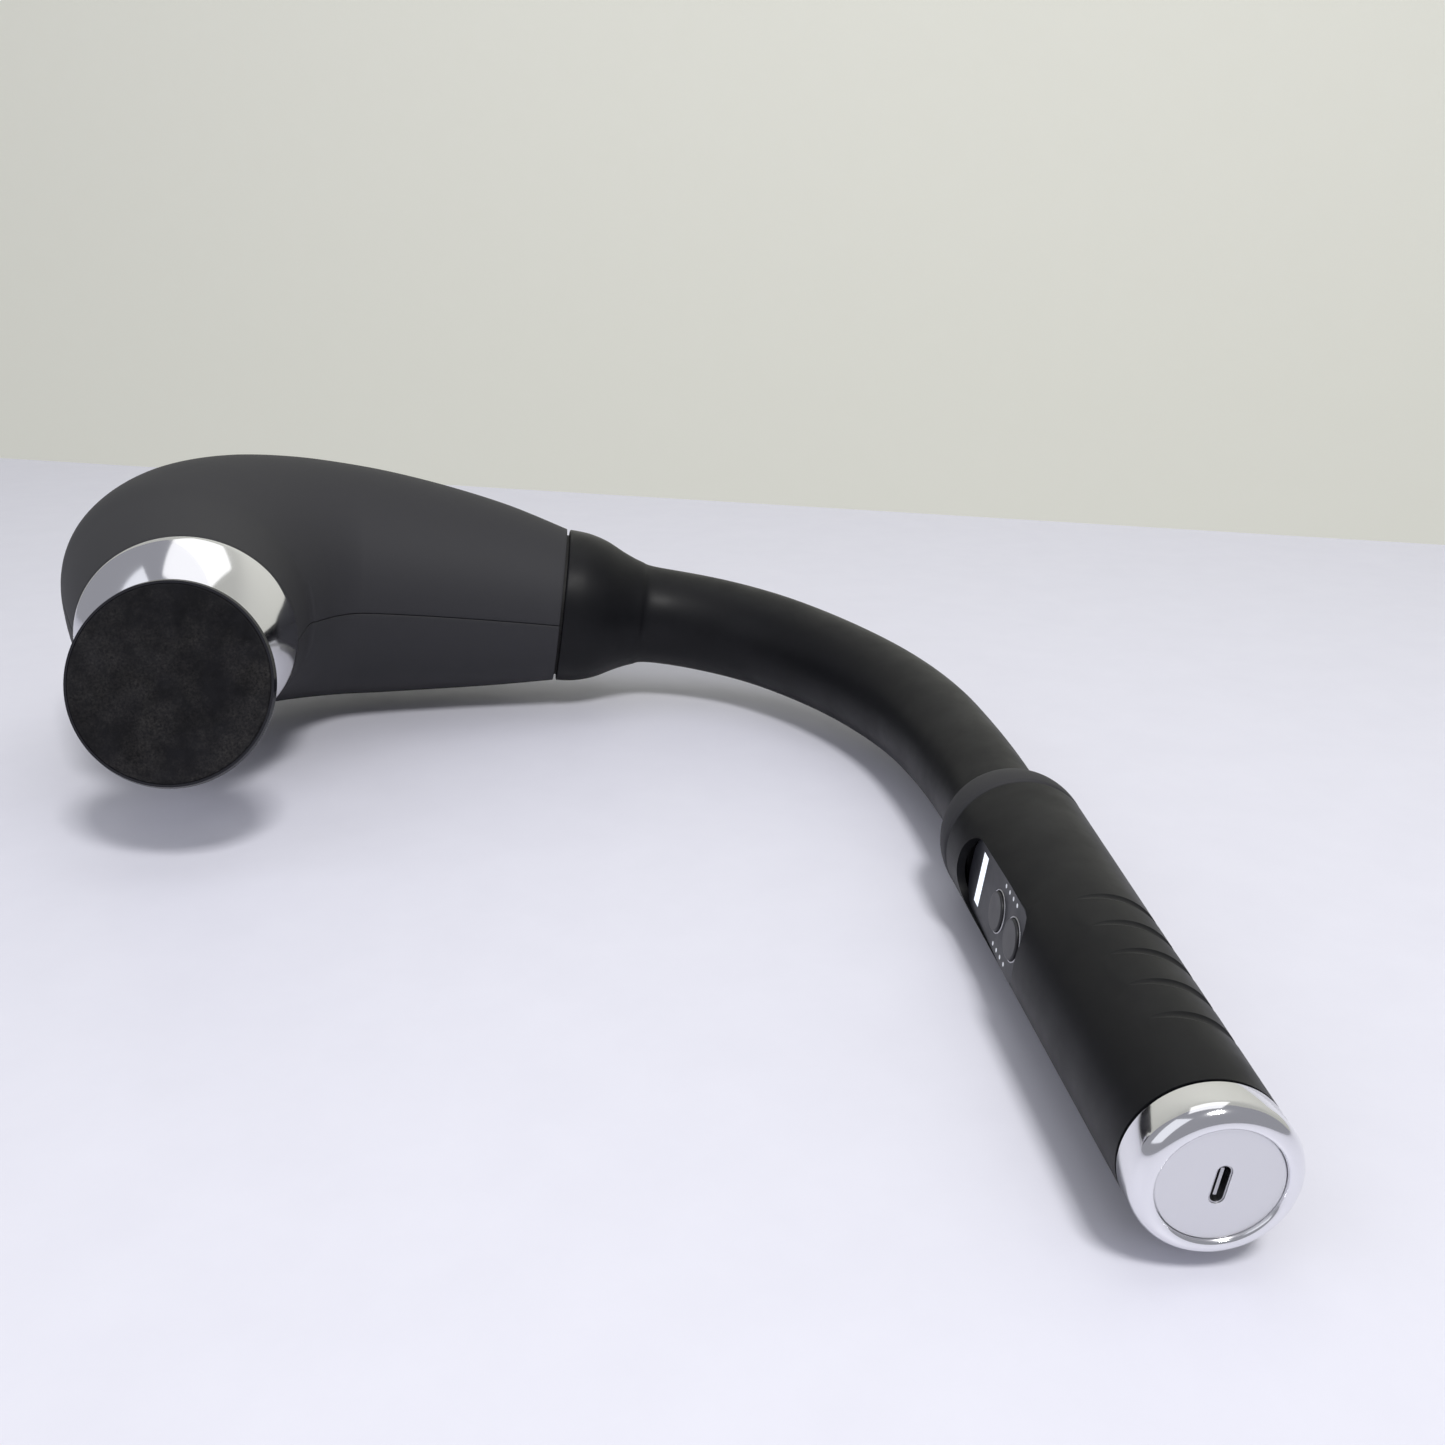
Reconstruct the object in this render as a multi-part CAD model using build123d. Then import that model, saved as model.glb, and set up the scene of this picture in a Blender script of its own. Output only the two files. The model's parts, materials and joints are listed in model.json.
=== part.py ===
"""Hook-shaped handheld massager: a thick elbow head with a percussion disc, a bent arm and a straight grip.

Everything is modelled in the hook frame, in millimetres. Its origin is the centre of the joint between head
and neck, +X runs from the head towards the arm, -Y is the way the disc and the grip point, and +Z is the side
that faces up when the massager lies down. At the end each piece is turned and moved so that the massager
lies on the plane Z = 0 on its three lowest places: the head, the bend of the arm and the end of the grip.
"""
from build123d import *
from math import acos, asin, cos, degrees, radians, sin, sqrt
import os

# ---- Driving sizes -----------------------------------------------------------------------------------------
# Head
SEAM_R = 32.7            # radius of head and neck where they meet
SEAM_GAP = 1.2           # open groove between head and neck
HEAD_HALF = 50.0         # half the head's thickness at its fullest
HEAD_LENGTH = 74.0       # joint to the start of the elbow
ELBOW_DROP = 66.0        # how far the elbow's inner pivot lies in front of the body axis
HEAD_WALL = 2.8
MOUTH_R = 36.6           # head radius where the collar seats
MOUTH_X = -130.6         # centre of the mouth
MOUTH_Y = -95.0
TOE_IN = 12.5            # degrees the disc's axis leans in towards the grip
# Collar, plunger and disc
COLLAR_LEN = 33.0
COLLAR_TIP_R = 16.0
SPIGOT_LEN = 8.0
PLUNGER_R = 7.0
STEM_R = 3.6
STROKE = 10.0
BALL_R = 6.4
BALL_AHEAD = 49.5        # ball centre in front of the mouth with the plunger drawn in
DISC_R = 32.7
DISC_THICK = 5.5
PAD_THICK = 2.4
DISC_FACE = 12.5         # pad face in front of the ball centre
DISC_PAN = -19.5         # resting turn of the disc about the upright axis
DISC_TILT = 21.0         # resting tilt of the disc, face up
DISC_SWING = 24.0        # most it turns each way from straight ahead
# Drive
CRANK_BACK = 84.0        # crank axis behind the mouth
ROD_LEN = 50.0
ROD_THICK = 6.0
WRIST_PIN_R = 2.0
CRANK_PIN_R = 3.0
CRANK_R = 17.0
SHAFT_R = 2.5
MOTOR_R = 18.9
MOTOR_LEN = 54.0
CHASSIS_HALF = 24.0
CHASSIS_WALL = 4.0
SCREW_R = 1.5
# Arm
ARM_RADII = (20.9, 20.4, 19.9, 19.3, 18.8, 18.0, 17.0, 16.2, 15.6)
NECK_LEN = 40.5
ARM_START = 33.0
ARM_BENDS = ((85.0, 47.0), (160.0, 38.0), (420.0, 8.35))   # radius and turn of each bend
ARM_RUN_IN = 33.0        # straight end of the arm, most of it inside the grip
SLEEVE_LAP = 11.0        # how far the sleeve reaches into the shoulder
CORE_PAST = 12.0         # how far the core reaches past the end of the sleeve
CORE_R = 12.0
CORE_BORE = 10.0
FLANGE_R = 20.0
HARNESS_R = 2.0
# Grip
SHOULDER_R = 21.6
GRIP_END_R = 17.5
SHOULDER_LEN = 21.0
GRIP_LEN = 139.5
GRIP_WALL = 2.2
SHOULDER_GAP = 0.7
COLLAR_GAP = 0.9         # open ring between the arm and the grip's shoulder
RIB_COUNT = 5
RIB_PITCH = 12.5
RIB_START = 68.0         # first rib groove from the top of the sleeve
PANEL_LEN = 56.0
PANEL_WIDTH = 21.0
PANEL_THICK = 2.0
PANEL_START = 13.0       # panel edge below the top of the sleeve
BUTTON_R = 5.4
BUTTON_LIFT = 0.9
BUTTON_TRAVEL = 0.6
RING_LEN = 10.0
PLATE_R = 13.0
PORT_W = 8.94
PORT_H = 3.26
CELL_R = 9.2
CELL_LEN = 52.0
# Fits
RUN = 0.04               # radial running clearance
FREE = 0.3               # gap between faces that pass each other

os.makedirs("parts", exist_ok=True)
BIG = 600.0

# ---- Frames ------------------------------------------------------------------------------------------------
toe = radians(TOE_IN)
TIP = Plane(origin=(MOUTH_X, MOUTH_Y, 0), x_dir=(cos(toe), sin(toe), 0), z_dir=(sin(toe), -cos(toe), 0)).location
PIVOT = (-HEAD_LENGTH, -ELBOW_DROP)


def arm_path():
    """Centre line of the arm: a straight neck, three easing bends and a straight run into the grip."""
    run = Line((-8, 0, 0), (ARM_START, 0, 0))
    pieces = [run]
    for radius, turn in ARM_BENDS:
        last = pieces[-1]
        pieces.append(JernArc(last @ 1, last % 1, radius, -turn))
    last = pieces[-1]
    pieces.append(Line(last @ 1, last @ 1 + (last % 1) * ARM_RUN_IN))
    return Wire([edge for piece in pieces for edge in piece.edges()])


ARM = arm_path()
ARM_LENGTH = ARM.length - 8
grip_dir = ARM % 1
grip_top = ARM @ 1 - grip_dir * (SLEEVE_LAP + CORE_PAST)
GRIP = Plane(origin=grip_top, x_dir=(-grip_dir.Y, grip_dir.X, 0), z_dir=grip_dir).location


def tip_point(x, y, z):
    """A point of the disc's own frame, given in the hook frame."""
    return (TIP * Pos(x, y, z)).position


def rod_at(radius, start, end, bore=0.0):
    """A round bar along local Z between two heights, with an optional bore."""
    bar = Pos(0, 0, (start + end) / 2) * Cylinder(radius, end - start)
    if bore:
        bar -= Pos(0, 0, (start + end) / 2) * Cylinder(bore, end - start + 2)
    return bar


def across(radius, start, end, z, y=0.0, bore=0.0):
    """A round bar along local X between two places, centred at height z."""
    return Pos(0, y, z) * Rot(0, 90, 0) * rod_at(radius, start, end, bore)


def block(x0, x1, y0, y1, z0, z1):
    """A box given by its faces."""
    return Pos((x0 + x1) / 2, (y0 + y1) / 2, (z0 + z1) / 2) * Box(x1 - x0, y1 - y0, z1 - z0)


def turned(*outline):
    """A body turned about local Z from an outline of (radius, height) points."""
    face = make_face(Polyline(*[(r, 0, z) for r, z in outline], close=True))
    return revolve(face, Axis.Z)


# ---- Head --------------------------------------------------------------------------------------------------
# Each station is an ellipse. Body stations give distance from the joint, centre offset and half width; elbow
# stations fan about the inner pivot and give the angle, the reach to the inner and outer wall and the height.
BODY_STATIONS = ((0.0, 0.0, 1.0, 1.0), (0.34, 4.4, 1.193, 1.187), (0.68, 5.9, 1.335, 1.329))
ELBOW_STATIONS = (
    (0, 23.5, 118.2, 0.938),
    (15, 22.2, 122.0, 0.974),
    (30, 20.6, 128.5, 0.998),
    (45, 19.4, 133.5, 1.000),
    (60, 18.8, 131.5, 0.970),
    (75, 19.4, 122.0, 0.906),
    (90, 20.6, 108.2, 0.832),
)


def head_form(inset, start=0.0, mouth_over=0.0):
    """The head's outer form shrunk by an inset, from `start` behind the joint to past the mouth."""
    faces = []
    for share, centre, half, height in BODY_STATIONS:
        x = -max(share * HEAD_LENGTH, start)
        a = half * SEAM_R + 0.06 - inset
        b = height * SEAM_R - inset
        faces.append(Plane((x, centre, 0), x_dir=(0, 1, 0), z_dir=(-1, 0, 0)) * Ellipse(a, b))
    for angle, inner, outer, height in ELBOW_STATIONS:
        fan = radians(angle)
        out = Vector(-sin(fan), cos(fan), 0)
        way = Vector(-cos(fan), -sin(fan), 0)
        middle = Vector(*PIVOT, 0) + out * (inner + outer) / 2
        a = (outer - inner) / 2 - inset
        b = height * HEAD_HALF - inset
        faces.append(Plane(middle, x_dir=out, z_dir=way) * Ellipse(a, b))
    mouth = TIP * Pos(0, 0, mouth_over - SEAM_GAP / 2)
    way = Vector(sin(toe), -cos(toe), 0)
    out = Vector(-cos(toe), -sin(toe), 0)
    faces.append(Plane(mouth.position, x_dir=out, z_dir=way) * Ellipse(MOUTH_R + 0.06 - inset, MOUTH_R - inset))
    return loft(faces)


def joint_ellipse(place, inset):
    """The elliptical section at the neck joint, facing away from the neck."""
    return Plane((place, 0, 0), x_dir=(0, 1, 0), z_dir=(-1, 0, 0)) * Ellipse(SEAM_R + 0.06 - inset, SEAM_R - inset)


RIM = 1.2                # bevel on the rims that face each other across the neck joint
RIM_START = SEAM_GAP / 2 + RIM
head_outer = head_form(0.0, start=RIM_START)
head_outer += loft([joint_ellipse(-SEAM_GAP / 2, RIM), joint_ellipse(-RIM_START, 0)], ruled=True)
head_cavity = head_form(HEAD_WALL, start=5.0, mouth_over=2.0)
mouth_bore = TIP * rod_at(MOUTH_R - 3.0, -SPIGOT_LEN - 1.0, 5.0)
neck_bore = Pos(-3, 0, 0) * Rot(0, 90, 0) * Cylinder(FLANGE_R + 0.05, 14)

BOSSES = ((-26.0, -20.0), (-24.0, 27.0), (-168.0, 8.0), (-163.0, -46.0))
BOSS_R = 4.2
SEAT_DEPTH = 14.0
CLAMPS = ((8.0, -40.0), (8.0, -92.0))


def clamp_spots():
    """Where the head shells' posts hold the drive chassis."""
    return [tip_point(x, 0, z) for x, z in CLAMPS]


def head_hollow():
    """The whole head as a hollow body with its inner posts, before it is cut into two shells."""
    posts = [Pos(x, y, 0) * Cylinder(BOSS_R, 2 * HEAD_HALF) for x, y in BOSSES]
    for spot in clamp_spots():
        for side in (-1, 1):
            posts.append(Pos(spot.X, spot.Y, side * (CHASSIS_HALF + 20)) * Cylinder(3.5, 40))
    inside = head_form(HEAD_WALL - 0.4, start=3.0)
    joined = posts[0].fuse(*posts[1:])
    return head_outer - head_cavity - mouth_bore - neck_bore + (joined & inside)


hollow = head_hollow()


def head_shell(side):
    """One head shell. Side is 1 for the upper shell and -1 for the lower one."""
    shell = hollow & (Pos(0, 0, side * BIG / 2) * Box(BIG, BIG, BIG))
    cuts = []
    for x, y in BOSSES:
        if side > 0:
            cuts.append(Pos(x, y, 6) * Cylinder(SCREW_R, 12))
        else:
            cuts.append(Pos(x, y, -40) * Cylinder(SCREW_R + 0.1, 80))
            cuts.append(Pos(x, y, -SEAT_DEPTH - 30) * Cylinder(3.2, 60))
    return shell.cut(*cuts)


head_shell_upper = head_shell(1)
head_shell_lower = head_shell(-1)


def head_screw():
    """A pan-head screw that joins the head shells, point up."""
    shank = Pos(0, 0, (11 - SEAT_DEPTH) / 2) * Cylinder(SCREW_R, 11 + SEAT_DEPTH)
    cap = Pos(0, 0, -SEAT_DEPTH - 1.1) * Cylinder(2.9, 2.2)
    drive = Pos(0, 0, -SEAT_DEPTH - 2.2) * (Box(0.8, 3.6, 1.6) + Box(3.6, 0.8, 1.6))
    return shank + cap - drive


head_screws = [Pos(x, y, 0) * head_screw() for x, y in BOSSES]

# ---- Collar and plunger guides ----------------------------------------------------------------------------
SPIGOT_R = MOUTH_R - 3.05
HUB_R = 12.0
BUSH_R = 9.6
collar_outline = make_face(
    Polyline((MOUTH_R, 0, 1.6), (MOUTH_R, 0, 0), (SPIGOT_R, 0, 0), (SPIGOT_R, 0, -SPIGOT_LEN),
             (SPIGOT_R - 2, 0, -SPIGOT_LEN), (SPIGOT_R - 2, 0, 0.5), (HUB_R + 0.5, 0, COLLAR_LEN - 3.4),
             (HUB_R, 0, COLLAR_LEN - 6), (HUB_R, 0, 8), (BUSH_R, 0, 8), (BUSH_R, 0, COLLAR_LEN),
             (COLLAR_TIP_R - 1.5, 0, COLLAR_LEN))
    + Line((COLLAR_TIP_R - 1.5, 0, COLLAR_LEN), (COLLAR_TIP_R, 0, COLLAR_LEN - 1.2))
    + ThreePointArc((COLLAR_TIP_R, 0, COLLAR_LEN - 1.2), (29.0, 0, 15.5), (MOUTH_R, 0, 1.6))
)
chrome_collar = TIP * revolve(collar_outline, Axis.Z)
collar_seal = TIP * rod_at(MOUTH_R - 0.7, -SEAM_GAP / 2, 0, SPIGOT_R + 0.05)
front_bush = TIP * rod_at(BUSH_R, 8, COLLAR_LEN - 3, PLUNGER_R + RUN)
wiper_seal = TIP * turned((PLUNGER_R + 0.3, COLLAR_LEN - 3), (BUSH_R, COLLAR_LEN - 3), (BUSH_R, COLLAR_LEN),
                          (PLUNGER_R + 1.4, COLLAR_LEN), (PLUNGER_R + 0.3, COLLAR_LEN - 1.2))

WRIST_BACK = CRANK_BACK + STROKE / 2 - ROD_LEN      # wrist pin behind the mouth
REAR_BUSH = (-26.0, -16.0)
stem_end = BALL_AHEAD - BALL_R * 0.7
plunger_bar = rod_at(PLUNGER_R, -WRIST_BACK - 5.0, COLLAR_LEN + 3.0)
plunger_bar -= block(-ROD_THICK / 2 - FREE, ROD_THICK / 2 + FREE, -9, 9, -WRIST_BACK - 6, -WRIST_BACK + 7)
plunger_bar -= across(WRIST_PIN_R, -9, 9, -WRIST_BACK)
plunger_bar -= rod_at(STEM_R, COLLAR_LEN - 9, COLLAR_LEN + 4)
plunger = TIP * plunger_bar
wrist_pin = TIP * across(WRIST_PIN_R, -6.4, 6.4, -WRIST_BACK)
ball_stud = TIP * (rod_at(STEM_R, COLLAR_LEN - 9, stem_end) + Pos(0, 0, BALL_AHEAD) * Sphere(BALL_R))

# ---- Disc on its ball -------------------------------------------------------------------------------------
LINER_WALL = 1.3
LINER_R = BALL_R + LINER_WALL
BALL_GAP = 0.06
# Half angle of the open back of the liner and the socket: the stem's own, the most it leans, and a little more
OPENING = degrees(asin(STEM_R / LINER_R)) + degrees(acos(cos(radians(DISC_SWING)) ** 2)) + 0.7
BALL = TIP * Pos(0, 0, BALL_AHEAD)
PANNED = BALL * Rot(0, DISC_PAN, 0)
FACED = PANNED * Rot(-DISC_TILT, 0, 0)


def back_cone(reach):
    """The cone that the stem sweeps behind the ball, as a solid to cut away."""
    wide = reach * sin(radians(OPENING)) / cos(radians(OPENING))
    return Pos(0, 0, -reach / 2) * Cone(wide, 0.01, reach)


socket_liner = PANNED * (Sphere(LINER_R) - Sphere(BALL_R + BALL_GAP) - back_cone(12))
BOSS_OUT = 14.5
disc_front = DISC_FACE - PAD_THICK + 1.0
disc_back = disc_front - DISC_THICK
disc_plate = turned(
    (0, disc_back + 1.0), (BOSS_OUT, disc_back + 1.0), (BOSS_OUT, -0.2), (LINER_R + 3.0, -0.2),
    (LINER_R + 3.0, -3.4), (0, -3.4),
)
dish = make_face(
    Polyline((0, 0, disc_back), (DISC_R - 6, 0, disc_back))
    + ThreePointArc((DISC_R - 6, 0, disc_back), (DISC_R - 1.6, 0, disc_back + 1.9), (DISC_R, 0, DISC_FACE - 1.6))
    + Line((DISC_R, 0, DISC_FACE - 1.6), (DISC_R - 0.5, 0, DISC_FACE - 0.4))
    + Line((DISC_R - 0.5, 0, DISC_FACE - 0.4), (DISC_R - 1.3, 0, DISC_FACE - 0.4))
    + Line((DISC_R - 1.3, 0, DISC_FACE - 0.4), (DISC_R - 1.3, 0, DISC_FACE - PAD_THICK))
    + Line((DISC_R - 1.3, 0, DISC_FACE - PAD_THICK), (0, 0, DISC_FACE - PAD_THICK))
    + Line((0, 0, DISC_FACE - PAD_THICK), (0, 0, disc_back))
)
disc_base_form = revolve(dish, Axis.Z) + disc_plate - Sphere(LINER_R + BALL_GAP) - back_cone(14)
RING_SCREWS = [Rot(0, 0, 120 * k) * Pos(BOSS_OUT - 2.3, 0, 0) for k in range(3)]
ring_form = turned((LINER_R + 3.05, -3.4), (LINER_R + 3.05, -0.2), (BOSS_OUT, -0.2), (BOSS_OUT, -3.4))
ring_screw = rod_at(0.9, -3.4, 4.0) + rod_at(1.5, -4.4, -3.4)
for spot in RING_SCREWS:
    disc_base_form -= spot * rod_at(0.9, -5, 4.0)
    ring_form -= spot * rod_at(0.95, -5, 4.0)
disc_base = FACED * disc_base_form
socket_ring = FACED * ring_form
socket_ring_screws = [FACED * spot * ring_screw for spot in RING_SCREWS]
pad_form = rod_at(DISC_R - 1.4, DISC_FACE - PAD_THICK, DISC_FACE)
pad_form = fillet(pad_form.edges().group_by(Axis.Z)[-1], 0.5)
disc_pad = FACED * pad_form

# ---- Drive ------------------------------------------------------------------------------------------------
WHEEL_FACE = ROD_THICK / 2 + 1.5
WHEEL_BACK = WHEEL_FACE + 6.0
HUB_END = WHEEL_BACK + 8.0
PLATE_FACE = HUB_END + 1.0
MOTOR_FACE = PLATE_FACE + CHASSIS_WALL
pin_back = CRANK_BACK + STROKE / 2

rod_eye = across(8.6, -ROD_THICK / 2, ROD_THICK / 2, -pin_back)
rod_small = across(4.8, -ROD_THICK / 2, ROD_THICK / 2, -WRIST_BACK)
shank = block(-2.2, 2.2, -3.4, 3.4, -pin_back + 4, -WRIST_BACK - 2)
connecting_rod = rod_eye + rod_small + shank
connecting_rod -= across(5.0, -9, 9, -pin_back)
connecting_rod -= across(WRIST_PIN_R + RUN, -9, 9, -WRIST_BACK)
connecting_rod = TIP * connecting_rod
rod_bearing = TIP * across(5.0, -ROD_THICK / 2, ROD_THICK / 2, -pin_back, bore=CRANK_PIN_R)
crank_pin = TIP * (across(CRANK_PIN_R, -ROD_THICK / 2, WHEEL_FACE - 0.4, -pin_back)
                   + across(4.2, -ROD_THICK / 2 - 1.2, -ROD_THICK / 2, -pin_back))

wheel = across(CRANK_R, WHEEL_FACE, WHEEL_BACK, -CRANK_BACK) + across(6.0, WHEEL_BACK, HUB_END, -CRANK_BACK)
wheel -= across(SHAFT_R, WHEEL_FACE + 0.5, HUB_END + 1, -CRANK_BACK)
wheel -= across(CRANK_PIN_R + RUN, WHEEL_FACE - 1, WHEEL_FACE + 5, -pin_back)
crank_wheel = TIP * wheel
weight = across(CRANK_R, WHEEL_BACK, WHEEL_BACK + 4, -CRANK_BACK, bore=8.0)
weight &= block(-40, 40, -40, 40, -CRANK_BACK + 2, -CRANK_BACK + 40)
counterweight = TIP * weight
motor_shaft = TIP * across(SHAFT_R, WHEEL_FACE + 0.5, MOTOR_FACE + MOTOR_LEN + 3, -CRANK_BACK)

can = across(MOTOR_R, MOTOR_FACE, MOTOR_FACE + MOTOR_LEN - 6, -CRANK_BACK)
can -= across(SHAFT_R + RUN, MOTOR_FACE - 1, MOTOR_FACE + MOTOR_LEN, -CRANK_BACK)
MOTOR_SCREWS = [(-12.5, -CRANK_BACK), (12.5, -CRANK_BACK)]
for y, z in MOTOR_SCREWS:
    can -= across(SCREW_R, MOTOR_FACE - 1, MOTOR_FACE + 6, z, y)
motor_can = TIP * can
motor_cap = across(MOTOR_R - 0.6, MOTOR_FACE + MOTOR_LEN - 6, MOTOR_FACE + MOTOR_LEN, -CRANK_BACK)
motor_cap -= across(SHAFT_R + RUN, MOTOR_FACE, MOTOR_FACE + MOTOR_LEN + 1, -CRANK_BACK)
TABS = [-11.0, 11.0]
for y in TABS:
    motor_cap -= block(MOTOR_FACE + MOTOR_LEN - 3, MOTOR_FACE + MOTOR_LEN + 1, y - 2.4, y + 2.4,
                       -CRANK_BACK - 0.4, -CRANK_BACK + 0.4)
motor_end_cap = TIP * motor_cap
motor_tabs = [
    TIP * block(MOTOR_FACE + MOTOR_LEN - 3, MOTOR_FACE + MOTOR_LEN + 5, y - 2.4, y + 2.4,
                -CRANK_BACK - 0.4, -CRANK_BACK + 0.4)
    for y in TABS
]
motor_screws = [
    TIP * (across(SCREW_R, PLATE_FACE, MOTOR_FACE + 6, z, y) + across(2.6, PLATE_FACE - 1.6, PLATE_FACE, z, y))
    for y, z in MOTOR_SCREWS
]

chassis = block(PLATE_FACE, MOTOR_FACE, -CHASSIS_HALF, CHASSIS_HALF, -CRANK_BACK - 20, REAR_BUSH[1])
for side in (-1, 1):
    inner = side * (CHASSIS_HALF - CHASSIS_WALL)
    outer = side * CHASSIS_HALF
    chassis += block(-12, PLATE_FACE, min(inner, outer), max(inner, outer), -CRANK_BACK - 18, REAR_BUSH[1])
chassis += block(-12, PLATE_FACE, -CHASSIS_HALF + CHASSIS_WALL, CHASSIS_HALF - CHASSIS_WALL, *REAR_BUSH)
chassis -= across(8.0, 0, 60, -CRANK_BACK)
chassis -= rod_at(BUSH_R, -60, 0)
for y, z in MOTOR_SCREWS:
    chassis -= across(SCREW_R + 0.1, 0, 60, z, y)
for z in (-52.0, -36.0):
    chassis -= across(6.0, 10, 60, z)
chassis = fillet(chassis.edges().filter_by(GeomType.LINE).group_by(SortBy.LENGTH)[-1], 1.0)
drive_chassis = TIP * chassis
rear_bush = TIP * rod_at(BUSH_R, *REAR_BUSH, PLUNGER_R + RUN)
shaft_bearing = TIP * across(8.0, PLATE_FACE, MOTOR_FACE, -CRANK_BACK, bore=SHAFT_R + RUN)

# ---- Arm --------------------------------------------------------------------------------------------------
def arm_plane(distance):
    """Cross-section plane of the arm at a distance from the head joint."""
    share = (distance + 8) / ARM.length
    return Plane(origin=ARM @ share, x_dir=(0, 0, 1), z_dir=ARM % share)


NECK_STATIONS = ((0.0, 1.0), (0.22, 0.977), (0.42, 0.905), (0.62, 0.782), (0.8, 0.692))
sections = [arm_plane(RIM_START) * Circle(SEAM_R)]
for share, size in NECK_STATIONS[1:]:
    sections.append(arm_plane(share * NECK_LEN) * Circle(size * SEAM_R))
for index, radius in enumerate(ARM_RADII):
    reach = NECK_LEN + (ARM_LENGTH - CORE_PAST - NECK_LEN) * index / (len(ARM_RADII) - 1)
    sections.append(arm_plane(reach) * Circle(radius))
sleeve = loft(sections)
sleeve += loft([arm_plane(SEAM_GAP / 2) * Circle(SEAM_R - RIM), arm_plane(RIM_START) * Circle(SEAM_R)], ruled=True)


def along_arm(radius):
    """A round bar that fills the arm's centre line from end to end."""
    return sweep(Plane(origin=ARM @ 0, x_dir=(0, 0, 1), z_dir=ARM % 0) * Circle(radius), path=ARM)


core_solid = along_arm(CORE_R)
arm_core = core_solid - along_arm(CORE_BORE)
flange_tube = Pos(4, 0, 0) * Rot(0, 90, 0) * Cylinder(FLANGE_R, 32)
flange_lip = Pos(-8, 0, 0) * Rot(0, 90, 0) * Cylinder(FLANGE_R + 6, 6)
flange_washer = Rot(0, 90, 0) * Cylinder(SEAM_R - 2.5, SEAM_GAP)
neck_flange = flange_tube + flange_lip + flange_washer - Pos(4, 0, 0) * Rot(0, 90, 0) * Cylinder(CORE_R + 0.05, 60)
arm_sleeve = sleeve - along_arm(CORE_R + 0.05) - Pos(10, 0, 0) * Rot(0, 90, 0) * Cylinder(FLANGE_R + 0.05, 21)

# ---- Grip -------------------------------------------------------------------------------------------------
SLEEVE_TOP = SHOULDER_LEN + SHOULDER_GAP
SLEEVE_END = SLEEVE_TOP + GRIP_LEN
ARM_END_R = ARM_RADII[-1]


def grip_radius(height):
    """Outer radius of the tapering grip at a height below the shoulder."""
    share = (height - SLEEVE_TOP) / GRIP_LEN
    return SHOULDER_R + (GRIP_END_R - SHOULDER_R) * share


dome_start = 2.0
dome = make_face(
    Line((CORE_R + 0.05, 0, 11.5), (ARM_END_R + COLLAR_GAP, 0, 11.5))
    + Line((ARM_END_R + COLLAR_GAP, 0, 11.5), (ARM_END_R + COLLAR_GAP, 0, dome_start))
    + ThreePointArc((ARM_END_R + COLLAR_GAP, 0, dome_start), (SHOULDER_R - 1.5, 0, 8.2), (SHOULDER_R, 0, SHOULDER_LEN - 0.8))
    + Line((SHOULDER_R, 0, SHOULDER_LEN - 0.8), (SHOULDER_R - 0.6, 0, SHOULDER_LEN))
    + Polyline((SHOULDER_R - 0.6, 0, SHOULDER_LEN), (SHOULDER_R - 4.6, 0, SHOULDER_LEN),
               (SHOULDER_R - 4.6, 0, SHOULDER_LEN + 8), (SHOULDER_R - 6.6, 0, SHOULDER_LEN + 8),
               (SHOULDER_R - 6.6, 0, SHOULDER_LEN - 4), (CORE_R + 0.05, 0, SHOULDER_LEN - 4),
               (CORE_R + 0.05, 0, 11.5))
)
shoulder_collar = GRIP * revolve(dome, Axis.Z)
shoulder_ring = GRIP * rod_at(SHOULDER_R - 1.6, SHOULDER_LEN, SLEEVE_TOP, SHOULDER_R - 4.6)

FACET = 0.84 * grip_radius(SLEEVE_TOP + PANEL_START + PANEL_LEN / 2)
panel_mid = SLEEVE_TOP + PANEL_START + PANEL_LEN / 2


def panel_slab(length, width, depth_from, depth_to):
    """A round-cornered slab square to the panel, between two depths from the grip's axis."""
    outline = Rot(0, 90, 0) * RectangleRounded(length, width, width * 0.42)
    slab = extrude(outline, depth_to - depth_from, dir=(-1, 0, 0))
    return Pos(-depth_from, 0, panel_mid) * slab


wall = GRIP_WALL + 0.2
sleeve_form = turned(
    (SHOULDER_R - wall, SLEEVE_TOP), (SHOULDER_R - 0.5, SLEEVE_TOP), (SHOULDER_R, SLEEVE_TOP + 0.8),
    (GRIP_END_R, SLEEVE_END), (GRIP_END_R - GRIP_WALL, SLEEVE_END),
)
for k in range(RIB_COUNT):
    height = SLEEVE_TOP + RIB_START + k * RIB_PITCH
    radius = grip_radius(height)
    sleeve_form -= Pos(-0.8, 0, height) * Torus(radius + 2.7, 3.0)
bed = panel_slab(PANEL_LEN + 3, PANEL_WIDTH + 3, FACET - PANEL_THICK - 1.8, FACET - PANEL_THICK)
bed &= turned((0, 0), (SHOULDER_R - 0.6, 0), (GRIP_END_R - 0.2, SLEEVE_END), (0, SLEEVE_END))
sleeve_form += bed
sleeve_form -= panel_slab(PANEL_LEN, PANEL_WIDTH, FACET - PANEL_THICK, 40)
WINDOW = (4.4, 15.0)
BUTTON_SPOTS = (2.0, 17.0)
WINDOW_SPOT = -16.5
for spot in BUTTON_SPOTS:
    sleeve_form -= Pos(-FACET, 0, panel_mid + spot) * Rot(0, 90, 0) * Cylinder(3.0, 12)
grip_sleeve = GRIP * sleeve_form

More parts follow.
